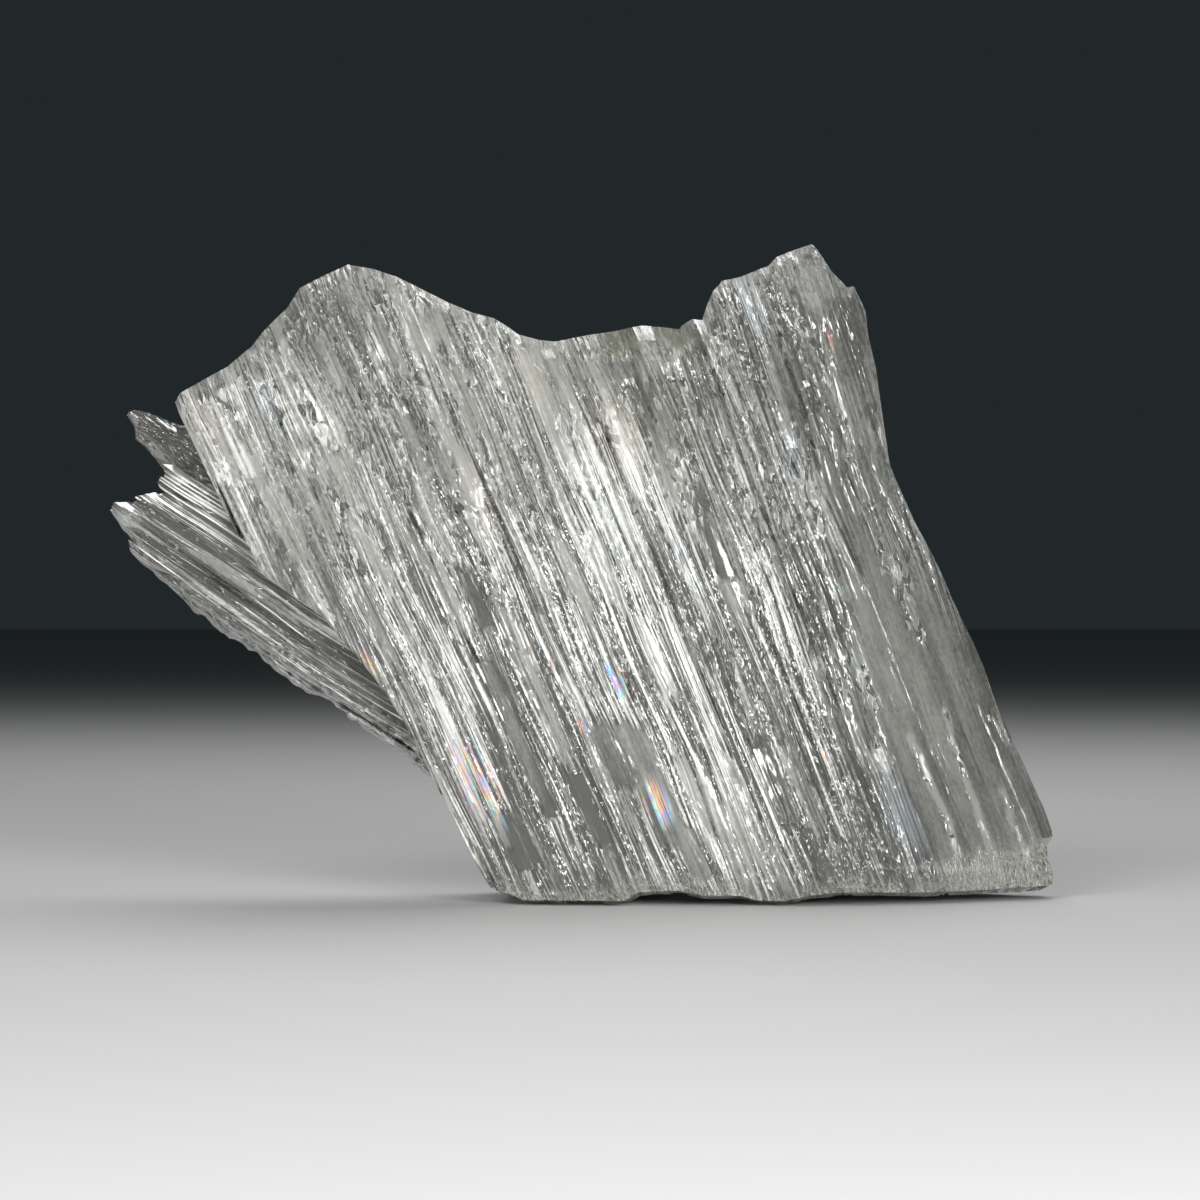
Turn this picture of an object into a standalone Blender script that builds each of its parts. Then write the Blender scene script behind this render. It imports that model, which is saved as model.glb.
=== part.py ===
"""A probertite specimen: a slab of nearly parallel, glassy fibrous crystals with a spray of thicker
blades grown into its left side. It stands on its broken lower end, with its fibres leaning to the left.

Frame: metres, +Z up, X along the slab, Y through its thickness with the shown face towards -Y.
The origin is the middle of the base. The crystals have grown together, so the specimen is one solid.
"""
import math
import random

import bmesh
import bpy
from mathutils import Vector

MM = 0.001
SEED = 4

# Moves the middle of the specimen's base to the origin, in mm.
TO_MIDDLE = (0.14, -0.058, 0.0)

# Fan of the slab's fibres, in the XZ plane. They lean left and spread a little towards the top.
FAN_MIDDLE = (0.0, 32.0)
FAN_LEAN_DEG = 67.5
FAN_RADIUS = 550.0

# Outline of the slab seen from the front, in mm (x, z), as the ends of its fibres make it.
TOP_OUTLINE = (
    (-40.4, 49.7), (-39.7, 50.6), (-37.4, 51.9), (-34.9, 53.1), (-33.0, 54.7), (-32.3, 55.7),
    (-31.3, 56.9), (-29.0, 59.0), (-28.3, 60.4), (-27.6, 61.2), (-25.4, 62.2), (-23.3, 63.3),
    (-21.6, 63.2), (-20.4, 62.7), (-18.0, 61.9), (-13.4, 59.6), (-9.5, 58.1), (-7.8, 57.6),
    (-6.9, 56.6), (-4.0, 55.7), (-1.5, 55.9), (2.5, 56.8), (4.5, 57.2), (8.8, 57.0), (10.4, 57.7),
    (12.0, 58.3), (12.9, 60.8), (13.8, 61.9), (16.9, 62.9), (19.3, 64.3), (22.6, 65.6),
    (23.6, 65.0), (25.4, 62.2), (26.4, 61.6), (27.2, 61.3),
)
LEFT_OUTLINE = (
    (-40.4, 45.3), (-36.4, 42.3), (-34.9, 38.0), (-33.6, 35.5), (-31.8, 32.8), (-25.8, 28.5),
    (-22.4, 24.6), (-20.1, 21.8), (-17.3, 17.7), (-15.0, 13.6), (-12.4, 7.9), (-10.6, 4.3), (-9.2, 1.9),
    (-8.2, 1.2),
)
RIGHT_OUTLINE = (
    (27.4, 61.0), (28.0, 59.6), (28.9, 54.7), (29.6, 49.9), (30.5, 45.1), (31.1, 42.5), (32.2, 40.3),
    (34.3, 35.5), (36.3, 31.2), (39.1, 25.9), (41.3, 20.0), (43.9, 14.0), (46.7, 8.2), (46.9, 6.9),
    (46.3, 5.7), (46.4, 4.4), (47.0, 2.6), (46.8, 1.4), (46.0, 0.8),
)
# Height of the broken lower end along x. It rests on a foot at the left and a nub further right.
FOOT = (-5.6, 4.4)
NUB = (17.4, 20.0)
BASE_OUTLINE = (
    (-8.2, 1.0), (-6.6, 0.5), (FOOT[0], 0.0), (FOOT[1], 0.0), (5.8, 0.8), (9.6, 1.0), (12.0, 0.5),
    (15.6, 0.5), (NUB[0], 0.0), (NUB[1], 0.0), (22.4, 0.5), (26.0, 0.8), (34.0, 0.6), (42.0, 0.7),
    (46.0, 0.8),
)

# Depth of the front and the back along the width of the fan, in mm (across, depth).
FRONT_DEPTH = (
    (-31.0, -7.6), (-26.0, -9.6), (-18.0, -11.2), (-6.0, -11.9), (8.0, -11.9), (16.0, -11.0),
    (23.0, -8.6), (29.0, -5.4), (33.5, -3.2), (36.4, -1.4),
)
BACK_DEPTH = (
    (-31.0, 4.2), (-24.0, 7.4), (-14.0, 10.4), (0.0, 11.9), (10.0, 11.9), (20.0, 10.3), (28.0, 7.2),
    (34.0, 4.0), (36.4, 2.6),
)
HALF_THICKNESS = 13.0
TOP_THINNING = 0.26
TOP_THINNING_RUN = 26.0

# Crystals of the slab: their widths, how far they stand out, and the ledges where one stops short.
CRYSTAL_WIDTH = (2.3, 4.1)
GROOVE = 0.2
CRYSTAL_RISE = (-0.35, 0.55)
CRYSTAL_CROWN = (0.12, 0.42)
LEDGE_STEP = (0.25, 0.85)
LEDGE_RUN = 0.12
END_BEVEL = (1.5, 2.6)
CRUST_HEIGHT = (1.3, 2.6)
END_STEP = (-1.5, 0.0)

# Lines through the thickness, as shares from the front to the back.
DEPTH_LINES = (0.0, 0.11, 0.3, 0.5, 0.7, 0.89, 1.0)
# Lines along a crystal between its lower end and its upper end: a share of its length, or a ledge side.
LOWER_LEDGE = (0.22, 0.42)
UPPER_LEDGE = (0.58, 0.86)

# Blades of the spray. Along runs up its lean from the foot of the slab, up is square to that.
SPRAY_LEAN_DEG = 34.0
BLADE_SIDES = 6
# Each blade: root and end along, middle up at its end, height, middle depth, thickness, turn, cut of its end.
# The first one is the heart of the spray, which fills it between the others.
SPRAY_BLADES = (
    (8.0, 50.0, 8.4, 8.8, 1.33, 9.4, 0.0, 0.4),
    (34.4, 54.9, 4.4, 4.2, -2.63, 5.4, 2.6, 0.6),
    (9.0, 52.6, 4.6, 4.0, -1.52, 6.3, 0.9, 0.8),
    (9.0, 60.2, 5.5, 2.2, -3.12, 5.1, 0.4, 1.0),
    (9.0, 59.2, 8.5, 3.6, -2.87, 6.4, 0.2, -0.9),
    (9.0, 58.0, 12.1, 3.7, -2.44, 5.7, -0.9, -0.8),
    (20.0, 54.6, 10.4, 1.8, -5.37, 2.3, -0.3, 0.5),
    (16.0, 56.2, 6.9, 1.5, -5.51, 2.1, 0.4, -0.4),
    (9.0, 54.6, 5.1, 3.4, 1.57, 5.2, 1.1, 0.9),
    (9.0, 57.9, 7.4, 3.4, 1.86, 5.5, 0.3, -0.8),
    (9.0, 57.0, 10.6, 3.6, 1.31, 5.8, -0.6, 0.5),
    (9.0, 54.8, 12.7, 3.2, 3.29, 5.1, -1.6, -0.8),
    (9.0, 52.4, 5.6, 3.6, 5.23, 4.6, 0.8, 1.1),
    (9.0, 55.2, 8.7, 3.8, 5.66, 4.5, -0.2, -0.8),
    (9.0, 50.8, 12.0, 3.4, 5.07, 4.9, -1.1, 1.0),
)
# The far shard behind the spray: a flat pointed blade.
SHARD_OUTLINE = (
    (-46.0, 48.7), (-45.4, 49.1), (-43.8, 48.8), (-41.6, 48.0), (-39.2, 47.2), (-33.0, 43.6),
    (-24.0, 36.0), (-28.0, 30.0), (-36.0, 37.6), (-41.8, 42.4), (-42.6, 43.5), (-44.1, 45.3),
    (-45.1, 46.1), (-45.3, 47.3),
)
SHARD_MIDDLE = (-34.0, 41.0)
SHARD_LAYERS = ((1.3, 0.93), (2.9, 1.0), (5.1, 0.985), (6.3, 0.92))

BLADE_COLOUR = (0.78, 0.79, 0.76, 1.0)
ROUGHNESS = 0.22
CRYSTAL_IOR = 1.52
TRANSMISSION = 0.55


def clear_scene():
    for item in list(bpy.data.objects):
        bpy.data.objects.remove(item)


def crystal_material():
    material = bpy.data.materials.new("crystal")
    material.use_nodes = True
    shader = material.node_tree.nodes["Principled BSDF"]
    shader.inputs["Base Color"].default_value = BLADE_COLOUR
    shader.inputs["Roughness"].default_value = ROUGHNESS
    shader.inputs["Metallic"].default_value = 0.0
    shader.inputs["IOR"].default_value = CRYSTAL_IOR
    shader.inputs["Transmission Weight"].default_value = TRANSMISSION
    return material


def between(span, share):
    return span[0] + (span[1] - span[0]) * share


def read_line(points, at):
    """The value of a broken line of (place, value) points at a place. It is level past its ends."""
    if at <= points[0][0]:
        return points[0][1]
    for (low, first), (high, second) in zip(points, points[1:]):
        if at <= high:
            return first + (second - first) * (at - low) / (high - low)
    return points[-1][1]


def smooth(share):
    share = min(1.0, max(0.0, share))
    return share * share * (3.0 - 2.0 * share)


# The fan's two measures of a place in the XZ plane: across the fibres, and along them from its middle.
LEAN = math.radians(FAN_LEAN_DEG)
APEX = (
    FAN_MIDDLE[0] + FAN_RADIUS * math.cos(LEAN),
    FAN_MIDDLE[1] - FAN_RADIUS * math.sin(LEAN),
)


def to_fan(x, z):
    run, rise = APEX[0] - x, z - APEX[1]
    return (math.atan2(rise, run) - LEAN) * FAN_RADIUS, math.hypot(run, rise) - FAN_RADIUS


def from_fan(across, along):
    turn = LEAN + across / FAN_RADIUS
    reach = FAN_RADIUS + along
    return APEX[0] - reach * math.cos(turn), APEX[1] + reach * math.sin(turn)


def along_at_height(across, z):
    return (z - APEX[1]) / math.sin(LEAN + across / FAN_RADIUS) - FAN_RADIUS


TOP_LINE = [to_fan(x, z) for x, z in TOP_OUTLINE]
LEFT_LINE = sorted(to_fan(x, z) for x, z in LEFT_OUTLINE)
RIGHT_LINE = sorted((along, across) for across, along in (to_fan(x, z) for x, z in RIGHT_OUTLINE))
ACROSS_LEFT = TOP_LINE[0][0]
ACROSS_RIGHT = TOP_LINE[-1][0]
ACROSS_KNEE = 18.0


def squeeze(across, along):
    """Draws the fibres on the right side in, so that the outermost one follows the right outline."""
    if across <= ACROSS_KNEE:
        return across
    edge = read_line(RIGHT_LINE, along)
    return ACROSS_KNEE + (across - ACROSS_KNEE) * (edge - ACROSS_KNEE) / (ACROSS_RIGHT - ACROSS_KNEE)


def lower_end(across):
    """Where a fibre ends below: on the left outline, or on the broken base."""
    if across < LEFT_LINE[-1][0]:
        return read_line(LEFT_LINE, across)
    along = along_at_height(across, 0.0)
    for _ in range(3):
        x, _z = from_fan(squeeze(across, along), along)
        along = along_at_height(squeeze(across, along), read_line(BASE_OUTLINE, x))
    return along


def upper_end(across):
    return read_line(TOP_LINE, across)


class Crystal:
    """One fibre bundle of the slab, from side to side, with its own rises, ledges and broken ends."""

    def __init__(self, left, right, dice):
        self.left, self.right = left, right
        self.crest = between((left, right), dice.uniform(0.3, 0.7))
        self.ledges = (dice.uniform(*LOWER_LEDGE), dice.uniform(*UPPER_LEDGE))
        self.bevel = dice.uniform(*END_BEVEL)
        self.crust = dice.uniform(*CRUST_HEIGHT)
        self.ends = [dice.uniform(*END_STEP) for _ in DEPTH_LINES]
        self.faces = [
            {
                "rise": dice.uniform(*CRYSTAL_RISE),
                "crown": dice.uniform(*CRYSTAL_CROWN),
                "steps": [dice.choice((-1, 1)) * dice.uniform(*LEDGE_STEP) for _ in range(2)],
            }
            for _ in range(2)
        ]

    def columns(self):
        first = self.left + (GROOVE if self.left > ACROSS_LEFT else 0.0)
        last = self.right - (GROOVE if self.right < ACROSS_RIGHT else 0.0)
        return [first, self.crest, last]

    def rise(self, face, across, share):
        look = self.faces[face]
        height = look["rise"] + (look["crown"] if abs(across - self.crest) < 1e-6 else 0.0)
        for ledge, step in zip(self.ledges, look["steps"]):
            if share > ledge:
                height += step * (0.5 if step > 0 else 1.0)
        return height


def crystals_of_slab(dice):
    """Splits the slab's width into crystals, narrower towards the left."""
    edges = [ACROSS_LEFT]
    while edges[-1] < ACROSS_RIGHT - CRYSTAL_WIDTH[1]:
        edges.append(edges[-1] + dice.uniform(*CRYSTAL_WIDTH))
    edges.append(ACROSS_RIGHT)
    return [Crystal(left, right, dice) for left, right in zip(edges, edges[1:])]


def rows_of(crystal, low, high):
    """Places along a crystal, from its lower end to its upper one, with its ledges as close pairs."""
    length = high - low
    first, second = (low + length * share for share in crystal.ledges)
    bevel = min(crystal.bevel, 0.12 * length)
    run = min(LEDGE_RUN, 0.01 * length)
    above = high - bevel - second
    return [
        low,
        low + min(crystal.crust, 0.12 * length),
        between((low, first), 0.6),
        first - run,
        first + run,
        between((first, second), 0.34),
        between((first, second), 0.67),
        second - run,
        second + run,
        high - bevel - 0.5 * above,
        high - bevel,
    ]


def unit_lattice(parts):
    """A cube cut into parts along X, Y and Z, as a bmesh."""
    mesh = bmesh.new()
    bmesh.ops.create_cube(mesh, size=1.0)
    for axis, number in enumerate(parts):
        along = [e for e in mesh.edges if abs((e.verts[0].co - e.verts[1].co)[axis]) > 0.5]
        bmesh.ops.subdivide_edges(mesh, edges=along, cuts=number - 1, use_grid_fill=True)
    return mesh


def slab_depth(across, along, top):
    """Depth of the front and the back at a place, before the crystals' own relief."""
    thin = 1.0 - TOP_THINNING * smooth((along - (top - TOP_THINNING_RUN)) / TOP_THINNING_RUN)
    return read_line(FRONT_DEPTH, across) * thin, read_line(BACK_DEPTH, across) * thin


def slab_point(crystal, across, row, line, rows_total):
    """The place of a lattice corner: across the slab, up its rows, and through its thickness."""
    low, high = lower_end(across), upper_end(across)
    rows = rows_of(crystal, low, high)
    on_top, at_base = row == rows_total, row == 0
    along = high if on_top else rows[row]
    crust = min(crystal.crust, 0.12 * (high - low))
    bevel = min(crystal.bevel, 0.12 * (high - low))
    front, back = slab_depth(across, along, high)
    share = (along - low) / (high - low)
    front -= crystal.rise(0, across, share)
    back += crystal.rise(1, across, share)
    depth = between((front, back), DEPTH_LINES[line])
    depth = min(HALF_THICKNESS, max(-HALF_THICKNESS, depth))
    if on_top:
        edge = line in (0, len(DEPTH_LINES) - 1)
        along += -bevel * 0.5 if edge else crystal.ends[line] * (0.0 if line == 2 else 1.0)
    placed = squeeze(across, along)
    x, z = from_fan(placed, along)
    if at_base and across >= LEFT_LINE[-1][0]:
        if line in (0, len(DEPTH_LINES) - 1):
            z = read_line(BASE_OUTLINE, x) + 0.5 * crust
        x -= (z - read_line(BASE_OUTLINE, x)) / math.tan(LEAN) * smooth((ACROSS_RIGHT - across) / 6.0)
    elif at_base and line in (0, len(DEPTH_LINES) - 1):
        x, z = from_fan(across, along + 0.5 * crust)
    return Vector((x, depth, z)) * MM


def make_slab(material, dice):
    crystals = crystals_of_slab(dice)
    columns = [(crystal, place) for crystal in crystals for place in crystal.columns()]
    rows_total = len(rows_of(crystals[0], 0.0, 1.0))
    parts = (len(columns) - 1, len(DEPTH_LINES) - 1, rows_total)
    mesh = unit_lattice(parts)
    for vertex in mesh.verts:
        column, line, row = (round((vertex.co[i] + 0.5) * parts[i]) for i in range(3))
        crystal, across = columns[column]
        vertex.co = slab_point(crystal, across, row, line, rows_total)
    bmesh.ops.triangulate(mesh, faces=mesh.faces[:])
    return finish("probertite", mesh, material)


def finish(name, mesh, material):
    bmesh.ops.translate(mesh, verts=mesh.verts[:], vec=Vector(TO_MIDDLE) * MM)
    mesh.normal_update()
    bmesh.ops.recalc_face_normals(mesh, faces=mesh.faces[:])
    data = bpy.data.meshes.new(name)
    mesh.to_mesh(data)
    mesh.free()
    data.materials.append(material)
    item = bpy.data.objects.new(name, data)
    bpy.context.scene.collection.objects.link(item)
    return item


def lean_of(turn):
    """The outward and upward directions of a spray blade that leans by a turn more than the others."""
    lean = math.radians(SPRAY_LEAN_DEG + turn)
    outwards = Vector((-math.cos(lean), 0.0, math.sin(lean)))
    return outwards, Vector((math.sin(lean), 0.0, math.cos(lean)))


def make_blade(number, material, blade):
    """A six-sided lath that tapers a little towards its end, which is cut at a slant."""
    root, end, up, height, depth, thickness, turn, cut = blade
    mesh = bmesh.new()
    length = end - root
    bmesh.ops.create_cone(
        mesh, cap_ends=True, segments=BLADE_SIDES, radius1=0.56, radius2=0.5, depth=length
    )
    spray_out, spray_up = lean_of(0.0)
    outwards, upwards = lean_of(turn)
    tip = spray_out * end + spray_up * up
    bmesh.ops.poke(mesh, faces=[f for f in mesh.faces if abs(f.normal.z) > 0.9])
    for vertex in mesh.verts:
        x, y, z = vertex.co
        if z > 0:
            z += cut * y * 2.0
        place = tip + outwards * (z - 0.5 * length) + upwards * (y * height)
        vertex.co = (place + Vector((0.0, depth + x * thickness, 0.0))) * MM
    return as_helper(finish(f"blade_{number}", mesh, material))


def make_shard(material):
    """The flat pointed blade behind the spray: its outline in layers through its thickness."""
    mesh = bmesh.new()
    loops = []
    for depth, size in SHARD_LAYERS:
        places = [[SHARD_MIDDLE[i] + (p[i] - SHARD_MIDDLE[i]) * size for i in (0, 1)] for p in SHARD_OUTLINE]
        loops.append([mesh.verts.new(Vector((x, depth, z)) * MM) for x, z in places])
    for near, far in zip(loops, loops[1:]):
        for n in range(len(near)):
            mesh.faces.new((near[n - 1], near[n], far[n], far[n - 1]))
    mesh.faces.new(loops[0])
    mesh.faces.new(loops[-1])
    bmesh.ops.triangulate(mesh, faces=mesh.faces[:])
    return as_helper(finish("shard", mesh, material))


def as_helper(item):
    item.hide_render = True
    item.display_type = "WIRE"
    return item


def join(body, helpers):
    """Grows the helpers into the body: one closed solid with no inner faces."""
    group = bpy.data.collections.new("spray")
    bpy.context.scene.collection.children.link(group)
    for item in helpers:
        group.objects.link(item)
    union = body.modifiers.new("grown_together", "BOOLEAN")
    union.operation = "UNION"
    union.operand_type = "COLLECTION"
    union.collection = group
    union.solver = "EXACT"


def build():
    clear_scene()
    dice = random.Random(SEED)
    material = crystal_material()
    slab = make_slab(material, dice)
    blades = [make_blade(n, material, blade) for n, blade in enumerate(SPRAY_BLADES)]
    join(slab, blades + [make_shard(material)])


build()
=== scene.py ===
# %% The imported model
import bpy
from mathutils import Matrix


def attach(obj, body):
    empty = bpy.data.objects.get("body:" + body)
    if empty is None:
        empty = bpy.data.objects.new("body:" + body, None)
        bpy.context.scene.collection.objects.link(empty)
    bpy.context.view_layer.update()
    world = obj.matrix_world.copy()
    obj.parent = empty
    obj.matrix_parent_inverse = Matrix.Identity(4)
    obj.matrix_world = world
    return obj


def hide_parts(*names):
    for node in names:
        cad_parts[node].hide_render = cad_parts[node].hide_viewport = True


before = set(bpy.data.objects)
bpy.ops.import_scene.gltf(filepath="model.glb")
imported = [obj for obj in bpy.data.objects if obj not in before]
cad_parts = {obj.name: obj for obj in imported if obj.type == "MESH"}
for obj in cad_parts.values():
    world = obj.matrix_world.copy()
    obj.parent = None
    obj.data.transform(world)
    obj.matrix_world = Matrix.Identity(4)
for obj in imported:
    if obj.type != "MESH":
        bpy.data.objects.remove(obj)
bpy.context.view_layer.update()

# %% [markdown]
# This lesson dresses a specimen of probertite, a borate mineral that grows as thin glassy needles.
# Hundreds of needles have grown side by side into one thick slab, and a second bundle, the spray,
# leans out of it at a lower angle. Everything is measured in millimetres along and across the needles,
# and it is turned into metres only when a corner is placed. That keeps every number readable.

# %% Modules and measures
import math
import random

import bpy
import numpy as np
from mathutils import Vector

MM = 0.001
# Moves the outline, so that the middle of its base is at the origin.
TO_MIDDLE = np.array((0.14, -0.058, 0.0))
bpy.ops.object.select_all(action="DESELECT")
print("one millimetre is", MM, "of a unit")

# %% [markdown]
# The needles of the slab are not quite parallel: they spread like a fan whose handle is far below.
# A place is therefore given by two fan measures, across the needles and along them. Any line that
# follows a needle is then a straight line in these measures, so ledges and streaks all run true.

# %% Fan measures
FAN_MIDDLE = (0.0, 32.0)
FAN_LEAN = math.radians(67.5)
FAN_RADIUS = 550.0
APEX = (
    FAN_MIDDLE[0] + FAN_RADIUS * math.cos(FAN_LEAN),
    FAN_MIDDLE[1] - FAN_RADIUS * math.sin(FAN_LEAN),
)


def to_fan(x, z):
    run, rise = APEX[0] - np.asarray(x, float), np.asarray(z, float) - APEX[1]
    return (np.arctan2(rise, run) - FAN_LEAN) * FAN_RADIUS, np.hypot(run, rise) - FAN_RADIUS


def from_fan(across, along):
    turn = FAN_LEAN + across / FAN_RADIUS
    reach = FAN_RADIUS + along
    return APEX[0] - reach * np.cos(turn), APEX[1] + reach * np.sin(turn)


def along_at_height(across, z):
    return (z - APEX[1]) / np.sin(FAN_LEAN + across / FAN_RADIUS) - FAN_RADIUS


print("the needles lean at", round(math.degrees(FAN_LEAN), 1), "degrees")

# %% [markdown]
# The outline is the most telling shape of a specimen, so it comes first. Each list below holds only the
# corners of the broken edge, as x and z in millimetres: the saddle along the top, the flank above the
# spray, the long right-hand edge, and the broken foot that the specimen stands on.

# %% Outline of the slab
TOP_EDGE = (
    (-40.4, 49.5), (-39.9, 50.4), (-37.5, 51.7), (-35.1, 53.0), (-32.7, 55.0), (-31.5, 56.5),
    (-29.1, 58.8), (-27.9, 60.7), (-25.5, 61.9), (-23.1, 63.0), (-20.7, 62.6), (-18.3, 61.8),
    (-13.5, 59.4), (-11.0, 58.3), (-8.7, 57.7), (-7.4, 56.9), (-6.3, 56.1), (-4.4, 55.6), (-2.7, 55.4),
    (0.9, 56.1), (3.4, 56.5), (5.8, 57.0), (7.8, 56.9), (9.6, 56.7), (9.9, 57.1), (10.8, 57.7),
    (11.9, 57.6), (12.4, 59.3), (13.0, 60.6), (13.6, 61.2), (13.8, 61.6), (15.6, 62.0), (17.0, 62.6),
    (18.5, 63.2), (19.3, 64.1), (21.2, 64.9), (22.9, 65.5), (23.5, 64.9), (24.9, 62.8), (26.5, 61.2),
    (27.0, 61.4), (27.4, 61.2),
)
LEFT_EDGE = (
    (-40.4, 45.3), (-36.4, 42.3), (-34.9, 38.0), (-33.6, 35.5), (-31.8, 32.8), (-25.8, 28.5),
    (-22.4, 24.6), (-20.1, 21.8), (-17.3, 17.7), (-15.0, 13.6), (-12.4, 7.9), (-10.6, 4.3), (-9.2, 1.9),
    (-8.2, 1.2),
)
RIGHT_EDGE = (
    (27.4, 61.0), (27.8, 60.2), (28.4, 58.8), (28.6, 56.5), (29.4, 53.1), (29.8, 50.1), (30.2, 47.3),
    (30.7, 43.7), (31.1, 42.5), (32.2, 40.1), (33.3, 37.6), (34.6, 35.3), (35.8, 32.9), (36.8, 30.5),
    (37.9, 28.1), (39.1, 25.7), (40.1, 23.3), (40.9, 20.9), (41.8, 18.5), (42.9, 16.1), (44.0, 13.7),
    (45.1, 11.3), (46.2, 8.9), (47.0, 6.7), (47.0, 5.9), (46.4, 5.4), (46.5, 4.1), (47.0, 2.7),
    (47.1, 1.5), (46.5, 0.9), (45.7, 0.6),
)
FOOT_EDGE = (
    (-8.2, 1.0), (-6.6, 0.5), (-5.6, 0.0), (4.4, 0.0), (5.8, 0.8), (9.6, 1.0), (12.0, 0.5), (15.6, 0.5),
    (17.4, 0.0), (20.0, 0.0), (22.4, 0.5), (26.0, 0.8), (34.0, 0.6), (42.0, 0.7), (46.0, 0.8),
)


def fan_line(corners, by_along=False):
    """Corners as two rising lists: the fan measure to read by, and the one to read."""
    x, z = zip(*corners)
    across, along = to_fan(x, z)
    first, second = (along, across) if by_along else (across, along)
    order = np.argsort(first, kind="stable")
    return first[order], second[order]


TOP_LINE, LEFT_LINE = fan_line(TOP_EDGE), fan_line(LEFT_EDGE)
RIGHT_LINE = fan_line(RIGHT_EDGE, by_along=True)
ACROSS_LEFT = float(to_fan(*TOP_EDGE[0])[0])
RIGHT_SHOULDER = (27.2, 61.3)
ACROSS_RIGHT = float(to_fan(*RIGHT_SHOULDER)[0])
# From here to the right the needles are drawn in, so that they follow the right-hand edge.
ACROSS_KNEE = 18.0
print("width across the needles, mm:", round(ACROSS_LEFT, 1), "to", round(ACROSS_RIGHT, 1))


def foot_height(x):
    return np.interp(x, *zip(*FOOT_EDGE))


def squeeze(across, along):
    """Draws the needles on the right in, so that the outermost one follows the right-hand edge."""
    edge = np.interp(along, *RIGHT_LINE)
    drawn = ACROSS_KNEE + (across - ACROSS_KNEE) * (edge - ACROSS_KNEE) / (ACROSS_RIGHT - ACROSS_KNEE)
    return np.where(across <= ACROSS_KNEE, across, drawn)


def lower_end(across):
    """Where a needle ends below: on the flank above the spray, or on the broken foot."""
    along = along_at_height(across, 0.0)
    for _ in range(4):
        x, _z = from_fan(squeeze(across, along), along)
        along = along_at_height(squeeze(across, along), foot_height(x))
    return np.where(across < LEFT_LINE[0][-1], np.interp(across, *LEFT_LINE), along)


def upper_end(across):
    return np.interp(across, *TOP_LINE)


# %% [markdown]
# The slab is thickest in its middle and thins towards its edges and its top. Two profiles across the
# needles give the depth of the shown face and of the back.

# %% Depth of the slab
FRONT_DEPTH = (
    (-31.0, -7.6), (-26.0, -9.6), (-18.0, -11.2), (-6.0, -11.9), (8.0, -11.9), (16.0, -11.0),
    (23.0, -8.6), (29.0, -5.4), (33.5, -3.2), (36.4, -1.4),
)
BACK_DEPTH = (
    (-31.0, 4.2), (-24.0, 7.4), (-14.0, 10.4), (0.0, 11.9), (10.0, 11.9), (20.0, 10.3), (28.0, 7.2),
    (34.0, 4.0), (36.4, 2.6),
)
HALF_THICKNESS = 13.0
TOP_THINNING = 0.26
TOP_THINNING_RUN = 26.0


def ease(share):
    share = np.clip(share, 0.0, 1.0)
    return share * share * (3.0 - 2.0 * share)


def slab_depth(across, along, top):
    thin = 1.0 - TOP_THINNING * ease((along - (top - TOP_THINNING_RUN)) / TOP_THINNING_RUN)
    return np.interp(across, *zip(*FRONT_DEPTH)) * thin, np.interp(across, *zip(*BACK_DEPTH)) * thin


print("thickest place of the slab, mm:", BACK_DEPTH[3][1] - FRONT_DEPTH[3][1])

# %% [markdown]
# The slab is built of crystals a few millimetres wide. Each stands out a little more or less than its
# neighbour, has a low crown, and ends in ledges where its outer layers have broken away. One row of
# random draws, always from the same seed, settles them all.

# %% Crystals of the slab
SEED = 4
CRYSTAL_WIDTH = (2.3, 4.1)
# Draws that settle the broken top of one crystal, from its front to its back.
DEPTH_DRAWS = 7


class Crystal:
    def __init__(self, left, right, dice):
        self.left, self.right = left, right
        self.crest = left + (right - left) * dice.uniform(0.3, 0.7)
        self.ledges = (dice.uniform(0.22, 0.42), dice.uniform(0.58, 0.86))
        self.bevel = dice.uniform(1.5, 2.6)
        self.crust = dice.uniform(1.3, 2.6)
        self.ends = [dice.uniform(-1.5, 0.0) for _ in range(DEPTH_DRAWS)]
        self.faces = [
            {
                "rise": dice.uniform(-0.35, 0.55),
                "crown": dice.uniform(0.12, 0.42),
                "steps": [dice.choice((-1, 1)) * dice.uniform(0.25, 0.85) for _ in range(2)],
            }
            for _ in range(2)
        ]


def crystals_of_slab():
    dice = random.Random(SEED)
    edges = [ACROSS_LEFT]
    while edges[-1] < ACROSS_RIGHT - CRYSTAL_WIDTH[1]:
        edges.append(edges[-1] + dice.uniform(*CRYSTAL_WIDTH))
    edges.append(ACROSS_RIGHT)
    return [Crystal(left, right, dice) for left, right in zip(edges, edges[1:])]


CRYSTALS = crystals_of_slab()
CRYSTAL_EDGES = np.array([crystal.left for crystal in CRYSTALS] + [ACROSS_RIGHT])
print(len(CRYSTALS), "crystals across the slab")


def of_crystals(read):
    return np.array([read(crystal) for crystal in CRYSTALS])


# %% [markdown]
# Much of what follows is left to chance: how high a needle stands, where it breaks, how it is tilted.
# A hash gives every needle, and every length of it, its numbers. It is a random draw that can be made
# for any corner at any time, and it is the same each time.

# %% Random numbers from whole numbers
HASH_SPAN = 2**32
HASH_SEED_FACTOR = 2654435761
HASH_FACTORS = (2246822519, 3266489917)
HASH_SHIFTS = (13, 16)


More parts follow.
